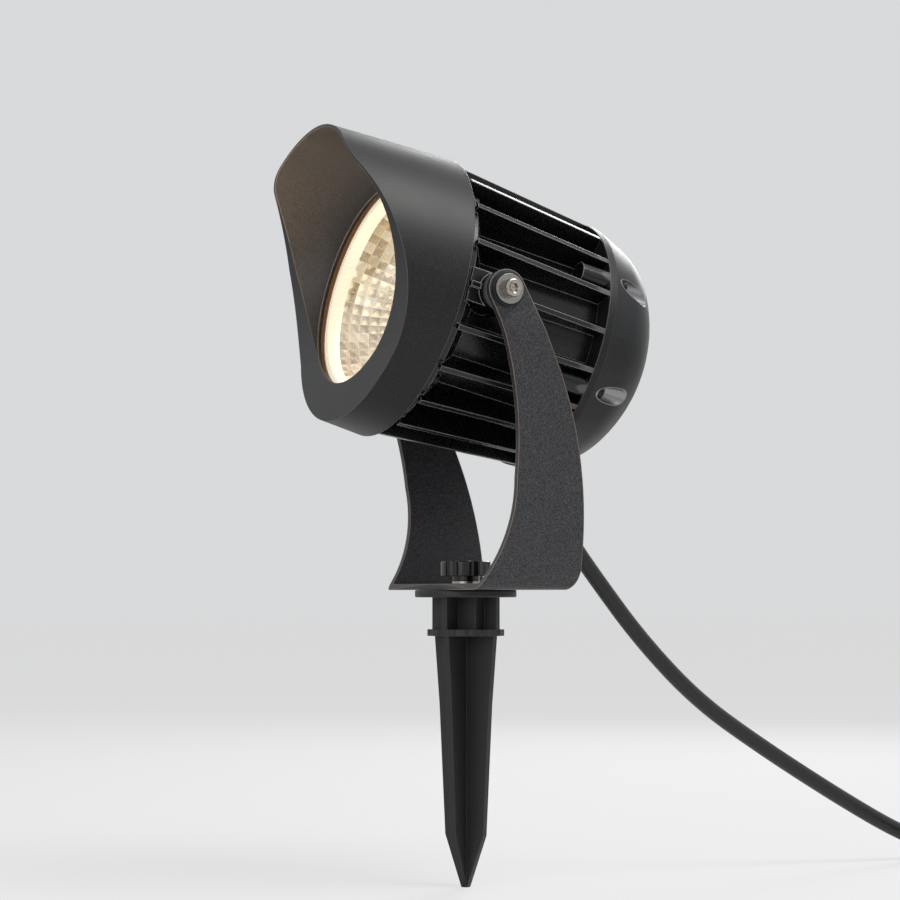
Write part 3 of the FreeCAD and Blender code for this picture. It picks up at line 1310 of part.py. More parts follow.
def make_plug():
    """Round plug with its side grooves and two pins."""
    body = new_body("plug_body", placed(0, "plug_back_y", "plug_radius - floor_depth"))
    shoulder = "plug_relief_length + plug_shoulder_length"
    grip = f"{shoulder} + plug_grip_length"
    nose = f"{grip} + plug_nose_length"
    outline = new_sketch(body, "XY_Plane")
    add_outline(outline, [("0", "0"), ("plug_relief_radius", "0"),
                          ("plug_relief_base_radius", "plug_relief_length"),
                          ("plug_radius", shoulder), ("plug_radius", grip),
                          ("plug_nose_radius", grip), ("plug_nose_radius", nose), ("0", nose)])
    add_feature(body, "Revolution", outline)
    grooves = new_sketch(body, "XZ_Plane", raised(f"-({nose})"))
    for side in (1, -1):
        add_circle(grooves, 0, f"{side} * plug_nose_radius", "plug_recess_radius")
    cut_checked(body, "Pocket", grooves, Length="plug_nose_length", Reversed=True)
    sockets = new_sketch(body, "XZ_Plane", raised(f"-({nose})"))
    for side in (1, -1):
        add_circle(sockets, f"{side} * pin_spacing / 2", 0, "pin_root_radius + screw_fit")
    cut_checked(body, "Pocket", sockets, Length="pin_root", Reversed=True)
    pins = []
    for side in (1, -1):
        face = FreeCAD.Vector(side * number("pin_spacing") / 2, number(nose), 0)
        along = FreeCAD.Vector(0, 1, 0)
        root = Part.makeCylinder(number("pin_root_radius"), number("pin_root"),
                                 face - along * number("pin_root"), along)
        pin = Part.makeCylinder(number("pin_radius"), number("pin_length"), face, along).fuse(root)
        tip = [e for e in pin.Edges if isinstance(e.Curve, Part.Circle)
               and abs(e.CenterOfMass.y - number(nose) - number("pin_length")) < 1e-6]
        pins.append(pin.makeFillet(number("pin_round"), tip))
    new_shape("plug_pins", Part.Compound(pins), body.Placement)


# ---------------------------------------------------------------------------------------------
# Build, check and write
# ---------------------------------------------------------------------------------------------


def check_document():
    """Stop if any object failed or any sub-part has no sound shape."""
    doc.recompute()
    for item in doc.Objects:
        if "Invalid" in item.State or "Error" in item.State:
            raise RuntimeError(f"{item.Label} failed: {item.State}")
    for node in nodes:
        if node.Shape.isNull() or not node.Shape.isValid():
            raise RuntimeError(f"{node.Label} has no valid shape")


def write_parts():
    """Write one file for each sub-part."""
    os.makedirs(OUTPUT_FOLDER, exist_ok=True)
    for node in nodes:
        node.Shape.exportStep(os.path.join(OUTPUT_FOLDER, f"{node.Label}.step"))
        print(f"{node.Label}: {len(node.Shape.Solids)} solid(s), {node.Shape.Volume:.0f} mm3")


make_ground_spike()
make_clamp_nut()
make_knob_stud()
make_clamp_knob()
make_base_washer()
make_yoke_bracket()
make_heatsink_body()
make_glare_hood()
make_front_glass()
make_lens_gasket()
make_reflector()
make_led_holder()
make_led_board()
make_led_emitter()
make_led_driver()
make_rear_cap()
make_cap_gasket()
make_lamp_screws()
make_gland()
make_pivots()
make_cable()
make_plug()
check_document()
write_parts()
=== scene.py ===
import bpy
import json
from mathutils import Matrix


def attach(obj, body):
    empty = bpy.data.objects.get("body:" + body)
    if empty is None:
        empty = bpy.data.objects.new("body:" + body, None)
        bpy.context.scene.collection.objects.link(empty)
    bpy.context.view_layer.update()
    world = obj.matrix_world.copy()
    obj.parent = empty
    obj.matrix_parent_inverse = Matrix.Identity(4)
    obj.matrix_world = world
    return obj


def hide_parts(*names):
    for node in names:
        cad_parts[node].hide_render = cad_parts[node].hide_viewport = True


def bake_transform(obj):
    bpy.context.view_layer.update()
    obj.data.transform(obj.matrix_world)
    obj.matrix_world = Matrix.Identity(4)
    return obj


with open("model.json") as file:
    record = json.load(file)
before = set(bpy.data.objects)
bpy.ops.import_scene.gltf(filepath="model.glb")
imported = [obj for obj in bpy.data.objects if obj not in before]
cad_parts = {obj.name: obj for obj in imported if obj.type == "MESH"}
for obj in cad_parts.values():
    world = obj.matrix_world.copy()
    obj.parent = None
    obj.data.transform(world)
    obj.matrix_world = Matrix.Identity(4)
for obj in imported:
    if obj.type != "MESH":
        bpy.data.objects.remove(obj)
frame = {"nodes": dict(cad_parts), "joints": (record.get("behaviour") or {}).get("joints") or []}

"""Looks of the garden spike spotlight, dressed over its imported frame.

Lengths are metres in the part's frame: +Z up, the lamp shining towards -Y, the origin on the
spike's axis at the underside of its collar.  The point of the spike stands on the floor.  Inside
the lamp head a "station" runs forward from the tilt axis along the lamp axis, and a radius is
taken from that axis.
"""

import json
import logging
import math
import random
from dataclasses import dataclass, field
from enum import Enum
from typing import Any, Callable, Sequence

import bmesh
import bpy
from mathutils import Euler, Vector

log = logging.getLogger("spotlight")
MM = 0.001
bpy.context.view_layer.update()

BEVEL_SAMPLES = 6
EDGE_GAIN = 9.0
MASK_EDGE = 0.4 * MM
NOISE_MIDDLE = 0.5
LAMP_TILT = 14.15
SHARP_ANGLE = math.radians(28.0)
CREASE_ANGLE = math.radians(12.0)
QUAD_CORNERS = 4
ACROSS = Vector((1.0, 0.0, 0.0))

Tone = tuple[float, float, float, float]
Triple = tuple[float, float, float]
RadiusAt = Callable[[float], float]


class BodyName(Enum):
    """Moving bodies that the new pieces ride on."""

    YOKE = "yoke"
    LAMP = "lamp_head"


# ---- Shader maths ----------------------------------------


class Wire:
    """A shader socket whose arithmetic adds Math nodes."""

    def __init__(self, shader: "Shader", socket: Any) -> None:
        """Keep the shader that the socket belongs to."""
        self.shader = shader
        self.socket = socket

    def _math(self, operation: str, first: Any, second: Any) -> "Wire":
        """Add one Math node.

        Args:
            operation: name of the operation.
            first: left value or wire.
            second: right value or wire.

        Returns:
            The wire of its result.
        """
        return self.shader.add("ShaderNodeMath", {"operation": operation}, {0: first, 1: second})

    def __add__(self, other: Any) -> "Wire":
        """Sum."""
        return self._math("ADD", self, other)

    def __radd__(self, other: Any) -> "Wire":
        """Sum with a number on the left."""
        return self._math("ADD", other, self)

    def __sub__(self, other: Any) -> "Wire":
        """Difference."""
        return self._math("SUBTRACT", self, other)

    def __rsub__(self, other: Any) -> "Wire":
        """Difference with a number on the left."""
        return self._math("SUBTRACT", other, self)

    def __mul__(self, other: Any) -> "Wire":
        """Product."""
        return self._math("MULTIPLY", self, other)

    def __rmul__(self, other: Any) -> "Wire":
        """Product with a number on the left."""
        return self._math("MULTIPLY", other, self)

    def __abs__(self) -> "Wire":
        """Value without its sign."""
        return self._math("ABSOLUTE", self, 0.0)

    def root(self) -> "Wire":
        """Square root."""
        return self._math("SQRT", self, 0.0)

    def clamped(self) -> "Wire":
        """Limit to the range from 0 to 1."""
        return self._math("MINIMUM", self._math("MAXIMUM", self, 0.0), 1.0)


class Shader:
    """Builds one node material."""

    def __init__(self, name: str, tree: bpy.types.NodeTree | None = None) -> None:
        """Start a material with only its output node, or take over the tree of a world."""
        self.tree = tree
        if tree is not None:
            return
        self.material = bpy.data.materials.new(name)
        self.material.use_nodes = True
        self.tree = self.material.node_tree
        self.tree.nodes.clear()
        self.output = self.tree.nodes.new("ShaderNodeOutputMaterial")

    def add(self, kind: str, settings: dict[str, Any] | None = None,
            inputs: dict[Any, Any] | None = None, result: Any = 0) -> Wire:
        """Add a node.

        Args:
            kind: type of the node.
            settings: its own settings, such as a Math node's operation, set first.
            inputs: values or wires of its sockets, by name or number.
            result: name or number of the output to return.

        Returns:
            The wire of that output.
        """
        node = self.tree.nodes.new(kind)
        for name, value in (settings or {}).items():
            setattr(node, name, value)
        for name, value in (inputs or {}).items():
            self.feed(node.inputs[name], value)
        return Wire(self, node.outputs[result])

    def feed(self, socket: Any, value: Any) -> None:
        """Set a socket to a value or link a wire to it."""
        if isinstance(value, Wire):
            self.tree.links.new(value.socket, socket)
        else:
            socket.default_value = value

    def place(self) -> Wire:
        """Coordinates of the surface in the part's frame, in metres."""
        return self.add("ShaderNodeTexCoord", result="Object")

    def noise(self, size: float, detail: float = 2.0, roughness: float = 0.5) -> Wire:
        """Cloudy pattern.

        Args:
            size: size of its blotches in metres.
            detail: how many finer layers it has.
            roughness: weight of the finer layers.

        Returns:
            The wire of its value.
        """
        return self.add("ShaderNodeTexNoise", None,
                        {"Vector": self.place(), "Scale": 1.0 / size, "Detail": detail,
                         "Roughness": roughness})

    def blend(self, factor: Any, first: Any, second: Any) -> Wire:
        """Mix two colours."""
        return self.add("ShaderNodeMix", {"data_type": "RGBA"},
                        {0: factor, 6: first, 7: second}, 2)

    def bump(self, height: Wire, strength: float, distance: float,
             normal: Wire | None = None) -> Wire:
        """Turn a height into a normal, on top of another normal where one is given."""
        inputs = {"Height": height, "Strength": strength, "Distance": distance}
        if normal is not None:
            inputs["Normal"] = normal
        return self.add("ShaderNodeBump", None, inputs)

    def rounded(self, width: float) -> Wire:
        """Normal of the surface as if its edges were rounded over a width in metres."""
        return self.add("ShaderNodeBevel", {"samples": BEVEL_SAMPLES}, {"Radius": width})

    def edges(self, normal: Wire) -> Wire:
        """Show where a rounded normal leaves the surface's own.

        Args:
            normal: the rounded normal.

        Returns:
            The wire of a value near 0 on open surfaces and up to 1 on edges.
        """
        own = self.add("ShaderNodeNewGeometry", result="Normal")
        turn = self.add("ShaderNodeVectorMath", {"operation": "DOT_PRODUCT"},
                        {0: normal, 1: own}, "Value")
        return ((1.0 - turn) * EDGE_GAIN).clamped()

    def lamp_place(self) -> list[Wire]:
        """Place from the lamp axis: along the tilt axis, square to it, and the station."""
        axis = LampAxis()
        place = self.place()
        wires = []
        for direction in (ACROSS, axis.up, axis.forward):
            along = self.add("ShaderNodeVectorMath", {"operation": "DOT_PRODUCT"},
                             {0: place, 1: direction}, "Value")
            wires.append(along - axis.pivot.dot(direction))
        return wires

    def spots(self, across: float, rise: float, radius: float) -> Wire:
        """Show the screw pockets round the lamp axis.

        Args:
            across: their distance from the lamp axis along the tilt axis.
            rise: their distance from it at right angles to that.
            radius: their radius.

        Returns:
            The wire of a value of 1 in the pockets and 0 outside them.
        """
        sideways, upwards, _ = self.lamp_place()
        first = abs(sideways) - across
        second = abs(upwards) - rise
        distance = (first * first + second * second).root()
        return ((radius + MASK_EDGE - distance) * (2.0 / MASK_EDGE)).clamped()

    def tips(self, start: float, radius: float, growth: float) -> Wire:
        """Show what reaches a cone about the lamp axis.

        Args:
            start: a station.
            radius: the cone's radius there.
            growth: how much that radius grows per metre forward.

        Returns:
            The wire of a value of 1 at the cone and 0 well inside it.
        """
        sideways, upwards, station = self.lamp_place()
        distance = (sideways * sideways + upwards * upwards).root()
        reach = (station - start) * growth + radius
        return ((distance - reach + MASK_EDGE) * (2.0 / MASK_EDGE)).clamped()

    def principled(self, **sockets: Any) -> Wire:
        """Add a Principled shader; underscores in names stand for spaces."""
        named = {name.replace("_", " "): value for name, value in sockets.items()}
        return self.add("ShaderNodeBsdfPrincipled", None, named)

    def finish(self, surface: Wire) -> bpy.types.Material:
        """Link a shader to the output and hand the material over."""
        self.tree.links.new(surface.socket, self.output.inputs["Surface"])
        return self.material

    def surface(self, **sockets: Any) -> bpy.types.Material:
        """Finish with one Principled shader."""
        return self.finish(self.principled(**sockets))


def colour(red: float, green: float, blue: float) -> Tone:
    """Opaque colour from linear components."""
    return (red, green, blue, 1.0)


def lighter(base: Sequence[float], factor: float) -> Tone:
    """Scale a colour, keeping it opaque."""
    return (base[0] * factor, base[1] * factor, base[2] * factor, 1.0)


def shades(base: Sequence[float], change: float) -> tuple[Tone, Tone]:
    """Darker and lighter shade of a colour."""
    return lighter(base, 1.0 - change), lighter(base, 1.0 + change)


# ---- Finishes --------------------------------------------


@dataclass(frozen=True)
class PowderCoat:
    """Baked powder coat: salt and pepper grain, satin sheen, painted highlights along its edges.
    """

    name: str
    base: Tone
    roughness: float = 0.5
    grain: float = 0.5 * MM
    grain_depth: float = 0.05 * MM
    grain_strength: float = 0.5
    grain_rough: float = 0.3
    cloud: float = 22 * MM
    cloud_rough: float = 0.08
    speckle: float = 0.45
    speckle_gain: float = 6.0
    speckle_level: float = 0.42
    gloss: float = 0.35
    edge_width: float = 0.8 * MM
    edge_highlight_least: float = 0.45
    painted_edge_highlight: Tone = (0.16, 0.15, 0.14, 1.0)
    pockets: Triple | None = None
    pocket_tone: Tone = (0.30, 0.30, 0.31, 1.0)
    pocket_polish: float = 0.1
    tip_highlight_cone: Triple | None = None
    painted_tip_highlight: Tone = (0.13, 0.132, 0.138, 1.0)
    tip_highlight_share: float = 0.7

    def build(self) -> bpy.types.Material:
        """Make the material."""
        shader = Shader(self.name)
        grain = shader.noise(self.grain, detail=2.0, roughness=0.65)
        cloud = shader.noise(self.cloud, detail=3.0, roughness=0.55)
        rounded = shader.rounded(self.edge_width)
        edge = shader.edges(rounded) * (self.edge_highlight_least + cloud)
        pepper = ((grain - NOISE_MIDDLE) * self.speckle_gain + self.speckle_level).clamped()
        ground = shader.blend(pepper, *shades(self.base, self.speckle))
        # Painted highlight: the edges are blended towards a lighter tone.
        tone = shader.blend(edge.clamped(), ground, self.painted_edge_highlight)
        rough = (self.roughness + (grain - NOISE_MIDDLE) * self.grain_rough
                 + (cloud - NOISE_MIDDLE) * self.cloud_rough)
        normal = shader.bump(grain, self.grain_strength, self.grain_depth, rounded)
        metal: Wire | float = 0.0
        # Painted highlight: where a cone is given, the tips that reach it are blended towards a
        # lighter tone.
        if self.tip_highlight_cone is not None:
            share = self.tip_highlight_share + (cloud - NOISE_MIDDLE)
            tip_highlight = shader.tips(*self.tip_highlight_cone) * share
            tone = shader.blend(tip_highlight.clamped(), tone, self.painted_tip_highlight)
        if self.pockets is not None:
            metal = shader.spots(*self.pockets)
            tone = shader.blend(metal, tone, self.pocket_tone)
            rough = rough - metal * self.pocket_polish
        return shader.surface(Base_Color=tone, Metallic=metal, Roughness=rough, Normal=normal,
                              Specular_IOR_Level=self.gloss)


@dataclass(frozen=True)
class Metal:
    """Turned or plated metal: fine lines, cloudy tone, broken edges."""

    name: str
    base: Tone
    roughness: float = 0.22
    line: float = 0.25 * MM
    line_depth: float = 0.02 * MM
    line_strength: float = 0.12
    line_rough: float = 0.12
    cloud: float = 3 * MM
    cloud_rough: float = 0.1
    darkest: float = 0.80
    brightest: float = 1.10
    edge_width: float = 0.2 * MM

    def build(self) -> bpy.types.Material:
        """Make the material."""
        shader = Shader(self.name)
        lines = shader.noise(self.line, detail=3.0, roughness=0.7)
        cloud = shader.noise(self.cloud, detail=3.0, roughness=0.6)
        tone = shader.blend(cloud, lighter(self.base, self.darkest),
                            lighter(self.base, self.brightest))
        rough = (self.roughness + (lines - NOISE_MIDDLE) * self.line_rough
                 + (cloud - NOISE_MIDDLE) * self.cloud_rough)
        normal = shader.bump(lines, self.line_strength, self.line_depth,
                             shader.rounded(self.edge_width))
        return shader.surface(Base_Color=tone, Metallic=1.0, Roughness=rough, Normal=normal)


@dataclass(frozen=True)
class Moulding:
    """Injection-moulded plastic or rubber, with painted highlights along its edges; where glow is
    set, its emission paints a faint glow.
    """

    name: str
    base: Tone
    roughness: float = 0.4
    grain: float = 0.5 * MM
    grain_depth: float = 0.05 * MM
    grain_strength: float = 0.25
    cloud: float = 14 * MM
    variation: float = 0.15
    rough_change: float = 0.12
    edge_width: float = 0.35 * MM
    edge_highlight_share: float = 0.5
    painted_edge_light: float = 2.5
    glow: float = 0.0

    def build(self) -> bpy.types.Material:
        """Make the material."""
        shader = Shader(self.name)
        grain = shader.noise(self.grain, detail=3.0, roughness=0.6)
        cloud = shader.noise(self.cloud, detail=4.0, roughness=0.6)
        rounded = shader.rounded(self.edge_width)
        ground = shader.blend(cloud, *shades(self.base, self.variation))
        # Painted highlight: the edges are blended towards a lighter tone.
        tone = shader.blend(shader.edges(rounded) * self.edge_highlight_share, ground,
                            lighter(self.base, self.painted_edge_light))
        rough = (self.roughness + (grain - NOISE_MIDDLE) * self.rough_change
                 + (cloud - NOISE_MIDDLE) * self.rough_change)
        normal = shader.bump(grain, self.grain_strength, self.grain_depth, rounded)
        # Painted glow: the base colour is emitted at the strength glow, as if lit from behind.
        return shader.surface(Base_Color=tone, Roughness=rough, Normal=normal,
                              Emission_Color=self.base, Emission_Strength=self.glow)


@dataclass(frozen=True)
class ClearGlass:
    """Clear tempered glass with a trace of film on it."""

    name: str
    tint: Tone = (0.98, 0.99, 0.98, 1.0)
    film: float = 9 * MM
    film_rough: float = 0.03
    refraction: float = 1.45

    def build(self) -> bpy.types.Material:
        """Make the material."""
        shader = Shader(self.name)
        film = shader.noise(self.film)
        return shader.surface(Base_Color=self.tint, Roughness=film * self.film_rough,
                              Transmission_Weight=1.0, IOR=self.refraction)


@dataclass(frozen=True)
class LitMetal:
    """Bright reflector metal with a painted warm glow standing in for the light engine's light
    reflected in it; painted highlights on its creases.
    """

    name: str
    glow: float
    light: Tone = (1.0, 0.86, 0.62, 1.0)
    mottle: float = 0.12
    metal: Tone = (0.66, 0.50, 0.30, 1.0)
    roughness: float = 0.24
    cell: float = 2.5 * MM
    cell_rough: float = 0.08
    crease_glow: float = 0.9
    crease_gain: float = 4.0
    crease_painted_highlight: Tone = (1.0, 0.95, 0.84, 1.0)
    crease_width: float = 0.45 * MM

    def build(self) -> bpy.types.Material:
        """Make the material."""
        shader = Shader(self.name)
        cells = shader.noise(self.cell)
        # Painted reflection: the surface emits the light engine's warm tone, mottled by cells.
        lit = lighter(self.light, self.glow / self.crease_glow)
        warm = shader.blend(cells, lighter(lit, 1.0 - self.mottle), lit)
        # Painted highlight: the creases are blended towards a paler emission.
        crease = shader.edges(shader.rounded(self.crease_width)) * self.crease_gain
        tone = shader.blend(crease.clamped(), warm, self.crease_painted_highlight)
        return shader.surface(Base_Color=self.metal, Metallic=1.0,
                              Roughness=self.roughness + cells * self.cell_rough,
                              Emission_Color=tone, Emission_Strength=self.crease_glow)


@dataclass(frozen=True)
class Glow:
    """Emitting surface of the light engine."""

    name: str
    strength: float = 3.0
    light: Tone = (1.0, 0.70, 0.35, 1.0)
    dimmest: float = 0.85
    resin: Tone = (0.9, 0.7, 0.2, 1.0)
    roughness: float = 0.4
    dot: float = 1.2 * MM
    dot_rough: float = 0.1

    def build(self) -> bpy.types.Material:
        """Make the material."""
        shader = Shader(self.name)
        dots = shader.noise(self.dot)
        tone = shader.blend(dots, lighter(self.light, self.dimmest), self.light)
        return shader.surface(Base_Color=self.resin,
                              Roughness=self.roughness + dots * self.dot_rough,
                              Emission_Color=tone, Emission_Strength=self.strength)


Finish = PowderCoat | Metal | Moulding | ClearGlass | LitMetal | Glow


# ---- Camera, light and floor -----------------------------


def linked(name: str, data: Any) -> bpy.types.Object:
    """Make an object of some data and put it in the scene."""
    item = bpy.data.objects.new(name, data)
    bpy.context.collection.objects.link(item)
    return item


def facing(direction: Vector) -> Euler:
    """Rotation of a camera or lamp that looks along a direction."""
    return direction.to_track_quat("-Z", "Y").to_euler()


@dataclass(frozen=True)
class SoftLamp:
    """Square area lamp of the studio."""

    name: str
    place: Triple
    aim: Triple
    size: float
    watts: float
    tint: Triple

    def build(self) -> None:
        """Add the lamp."""
        data = bpy.data.lights.new(self.name, "AREA")
        data.shape = "SQUARE"
        data.size = self.size
        data.energy = self.watts
        data.color = self.tint
        lamp = linked(self.name, data)
        lamp.location = self.place
        lamp.rotation_euler = facing(Vector(self.aim) - Vector(self.place))


@dataclass
class Studio:
    """Camera at the photograph's angle, soft lamps, pale floor and backdrop."""

    camera_place: Triple = (1.0133, -0.4964, 0.0204)
    camera_aim: Triple = (-0.0033, -0.0069, 0.0905)
    focal_length: float = 92.5
    sensor_width: float = 36.0
    view_depth: float = 50.0
    lamps: tuple[SoftLamp, ...] = (
        SoftLamp("key", (0.55, 0.35, 1.15), (0.0, 0.0, 0.12), 0.7, 11.0, (1.0, 0.98, 0.95)),
        SoftLamp("fill", (0.9, -1.3, 0.5), (0.0, 0.0, 0.1), 0.9, 4.5, (0.95, 0.97, 1.0)),
        SoftLamp("rim", (-0.8, 0.8, 0.7), (0.0, 0.0, 0.12), 0.6, 7.0, (1.0, 1.0, 1.0)))
    floor_height: float = -0.121
    floor_size: float = 24.0
    floor_tone: Tone = (0.76, 0.76, 0.76, 1.0)
    floor_cloud: float = 0.4
    floor_change: float = 0.98
    floor_roughness: float = 0.9
    lift_tone: Tone = (0.86, 0.86, 0.87, 1.0)
    floor_lift: float = 0.7
    sky_tone: Tone = (0.99, 1.0, 1.01, 1.0)
    backdrop: float = 0.70
    ambient: float = 0.36

    def build(self) -> None:
        """Make the camera, the lamps, the floor and the world."""
        self._camera()
        self._floor()
        for lamp in self.lamps:
            lamp.build()
        self._world()
        bpy.context.scene.view_settings.view_transform = "Standard"

    def _camera(self) -> None:
        """Place the camera."""
        data = bpy.data.cameras.new("camera")
        data.lens = self.focal_length
        data.sensor_width = self.sensor_width
        data.clip_end = self.view_depth
        camera = linked("camera", data)
        camera.location = self.camera_place
        camera.rotation_euler = facing(Vector(self.camera_aim) - Vector(self.camera_place))
        bpy.context.scene.camera = camera

    def _floor(self) -> None:
        """Pale floor that reaches far past the object."""
        mesh = bpy.data.meshes.new("floor")
        half = self.floor_size / 2
        corners = [(-half, -half), (half, -half), (half, half), (-half, half)]
        mesh.from_pydata([(x, y, self.floor_height) for x, y in corners], [], [(0, 1, 2, 3)])
        floor = linked("floor", mesh)
        shader = Shader("floor_paper")
        cloud = shader.noise(self.floor_cloud)
        tone = shader.blend(cloud, lighter(self.floor_tone, self.floor_change), self.floor_tone)
        paper = shader.principled(Base_Color=tone, Roughness=self.floor_roughness)
        lift = shader.add("ShaderNodeEmission", None, {"Color": self.lift_tone, "Strength": 1.0})
        seen = shader.add("ShaderNodeLightPath", result="Is Camera Ray")
        floor.data.materials.append(shader.finish(shader.add(
            "ShaderNodeMixShader", None, {0: seen * self.floor_lift, 1: paper, 2: lift})))

    def _world(self) -> None:
        """Even surroundings, as pale as the floor where they are seen or mirrored."""
        world = bpy.data.worlds.new("studio")
        bpy.context.scene.world = world
        world.use_nodes = True
        background = world.node_tree.nodes["Background"]
        background.inputs["Color"].default_value = self.sky_tone
        shader = Shader("studio", world.node_tree)
        outputs = shader.add("ShaderNodeLightPath").socket.node.outputs
        camera, *mirrored = (Wire(shader, outputs[name]) for name in (
            "Is Camera Ray", "Is Glossy Ray", "Is Transmission Ray"))
        seen = sum(mirrored, camera)
        shader.feed(background.inputs["Strength"],
                    self.ambient + seen.clamped() * (self.backdrop - self.ambient))


# ---- Cable -----------------------------------------------


@dataclass
class SupplyCable:
    """Rubber cable: free stretch behind the lamp, coil, short lead into the plug.

    Its routes are (y, z) in millimetres in the middle plane.
    """

    radius: float = 4.1 * MM
    exit: tuple[float, float] = (50.30 * MM, 68.14 * MM)
    route: tuple[tuple[float, float], ...] = (
        (51.0, 61.1), (56.1, 49.0), (73.0, 27.3), (98.5, -3.1), (131.0, -33.6), (168.0, -57.3),
        (215.0, -84.4), (256.0, -106.0), (287.0, -116.9))
    bend_end: int = 5
    plug_route: tuple[tuple[float, float], ...] = ((346.0, -108.1), (376.0, -102.5))
    plug_entry: tuple[float, float] = (402.0 * MM, -102.5 * MM)
    coil_radius: float = 50.0 * MM
    coil_centre: tuple[float, float] = (50.0 * MM, 315.0 * MM)
    turn_gap: float = 0.6 * MM
    half_turns: int = 4
    floor_depth: float = 121.0 * MM
    points_per_half_turn: int = 12
    sides: int = 24
    line_order: int = 3
    line_steps: int = 12

    def coil(self) -> list[Vector]:
        """Points round the coil: lower layer inwards, upper layer outwards.

        Returns:
            The points, without the coil's first and last end.
        """
        pitch = 2 * self.radius + self.turn_gap
        low = self.radius - self.floor_depth
        smallest = self.coil_radius - pitch / 2 * self.half_turns
        radii = [self.coil_radius - pitch / 2 * index for index in range(self.half_turns)]
        radii.append(smallest)
        radii += [smallest + pitch / 2 * index for index in range(1, self.half_turns)]
        x = self.coil_centre[0] - self.coil_radius
        heading = 1
        points = []
        for index, radius in enumerate(radii):
            start = low if index <= self.half_turns else low + pitch
            finish = low if index < self.half_turns else low + pitch
            for step in range(self.points_per_half_turn):
                share = (step + 0.5) / self.points_per_half_turn
                angle = math.pi * share
                points.append(Vector((x + heading * radius * (1 - math.cos(angle)),
                                      self.coil_centre[1] + heading * radius * math.sin(angle),
                                      start + (finish - start) * share)))
            x += heading * 2 * radius
            heading = -heading
        return points

    def control_points(self) -> list[Vector]:
        """All control points of the cable's line, from the gland to the plug."""
        points = [Vector((0, *self.exit))]
        points += [Vector((0, y * MM, z * MM)) for y, z in self.route]
        entry_x = self.coil_centre[0] - self.coil_radius
        lead = 4 * self.radius
        low = self.radius - self.floor_depth
        high = low + 2 * self.radius + self.turn_gap
        points.append(Vector((entry_x, self.coil_centre[1] - lead, low)))
        points += self.coil()
        points.append(Vector((entry_x, self.coil_centre[1] + lead, high)))
        points += [Vector((0, y * MM, z * MM)) for y, z in self.plug_route]
        points.append(Vector((0, *self.plug_entry)))
        return points

    def line(self) -> list[Vector]:
        """Closely spaced points of the smooth line through the control points' NURBS."""
        data = bpy.data.curves.new("cable_line", "CURVE")
        data.dimensions = "3D"
        data.resolution_u = self.line_steps
        spline = data.splines.new("NURBS")
        controls = self.control_points()
        spline.points.add(len(controls) - 1)
        for point, control in zip(spline.points, controls):
            point.co = (*control, 1.0)
        spline.order_u = self.line_order
        spline.use_endpoint_u = True
        helper = linked("cable_line", data)
        mesh = bpy.data.meshes.new_from_object(helper)
        points = [vertex.co.copy() for vertex in mesh.vertices]
        bpy.data.objects.remove(helper)
        bpy.data.meshes.remove(mesh)
        return points

    def build(self, material: bpy.types.Material) -> None:
        """Args:
            material: finish of the rubber.
        """
        points = self.line()
        cable = tube("supply_cable", points, self.radius, self.sides)
        cable.data.materials.append(material)
        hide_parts("power_cord", "cord_coil", "plug_lead")
        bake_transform(cable)


def turns(count: int) -> list[float]:
    """Angles of a number of even steps round a circle."""
    return [2 * math.pi * step / count for step in range(count)]


def round_at(radius: float) -> RadiusAt:
    """Circle of one radius, as a function of the angle."""
    return lambda angle: radius


def tube(name: str, points: Sequence[Vector], radius: float, sides: int) -> bpy.types.Object:
    """Round tube along a line, closed at both ends.

    Args:
        name: name of the piece.
        points: its middle line.
        radius: its radius.
        sides: corners of its section.

    Returns:
        The new object.
    """
    rings = []
    normal = None
    for index, point in enumerate(points):
        before = points[max(index - 1, 0)]
        after = points[min(index + 1, len(points) - 1)]
        tangent = (after - before).normalized()
        if normal is None:
            normal = tangent.orthogonal().normalized()
        normal = (normal - tangent * normal.dot(tangent)).normalized()
        side = tangent.cross(normal)
        rings.append([point + (normal * math.cos(a) + side * math.sin(a)) * radius
                      for a in turns(sides)])
    shape = bmesh.new()
    add_rings(shape, rings)
    return finished(name, shape)


def add_rings(shape: bmesh.types.BMesh, rings: Sequence[Sequence[Vector]],
              loop: bool = False) -> None:
    """Skin a row of rings.

    Args:
        shape: geometry to add to.
        rings: rings of equally many points each.
        loop: joins the last ring to the first; otherwise both ends are closed.
    """
    rows = [[shape.verts.new(point) for point in ring] for ring in rings]
    pairs = list(zip(rows, rows[1:]))
    if loop:
        pairs.append((rows[-1], rows[0]))
    count = len(rows[0])
    for row, following in pairs:
        for step in range(count):
            other = (step + 1) % count
            shape.faces.new((row[step], row[other], following[other], following[step]))
    if not loop:
        shape.faces.new(list(reversed(rows[0])))
        shape.faces.new(rows[-1])


def finished(name: str, shape: bmesh.types.BMesh,
             sharp: float = SHARP_ANGLE) -> bpy.types.Object:
    """Turn a bmesh into a linked object, smooth between its sharp edges.

    Args:
        name: name of the piece.
        shape: its geometry, freed here.
        sharp: angle between two faces from which their edge is sharp.

    Returns:
        The new object.
    """
    bmesh.ops.recalc_face_normals(shape, faces=shape.faces)
    for face in shape.faces:
        face.smooth = len(face.verts) <= QUAD_CORNERS
    for edge in shape.edges:
        if len(edge.link_faces) == 2 and edge.calc_face_angle() > sharp:
            edge.smooth = False
    mesh = bpy.data.meshes.new(name)
    shape.to_mesh(mesh)
    shape.free()
    return linked(name, mesh)


# ---- Lamp head -------------------------------------------


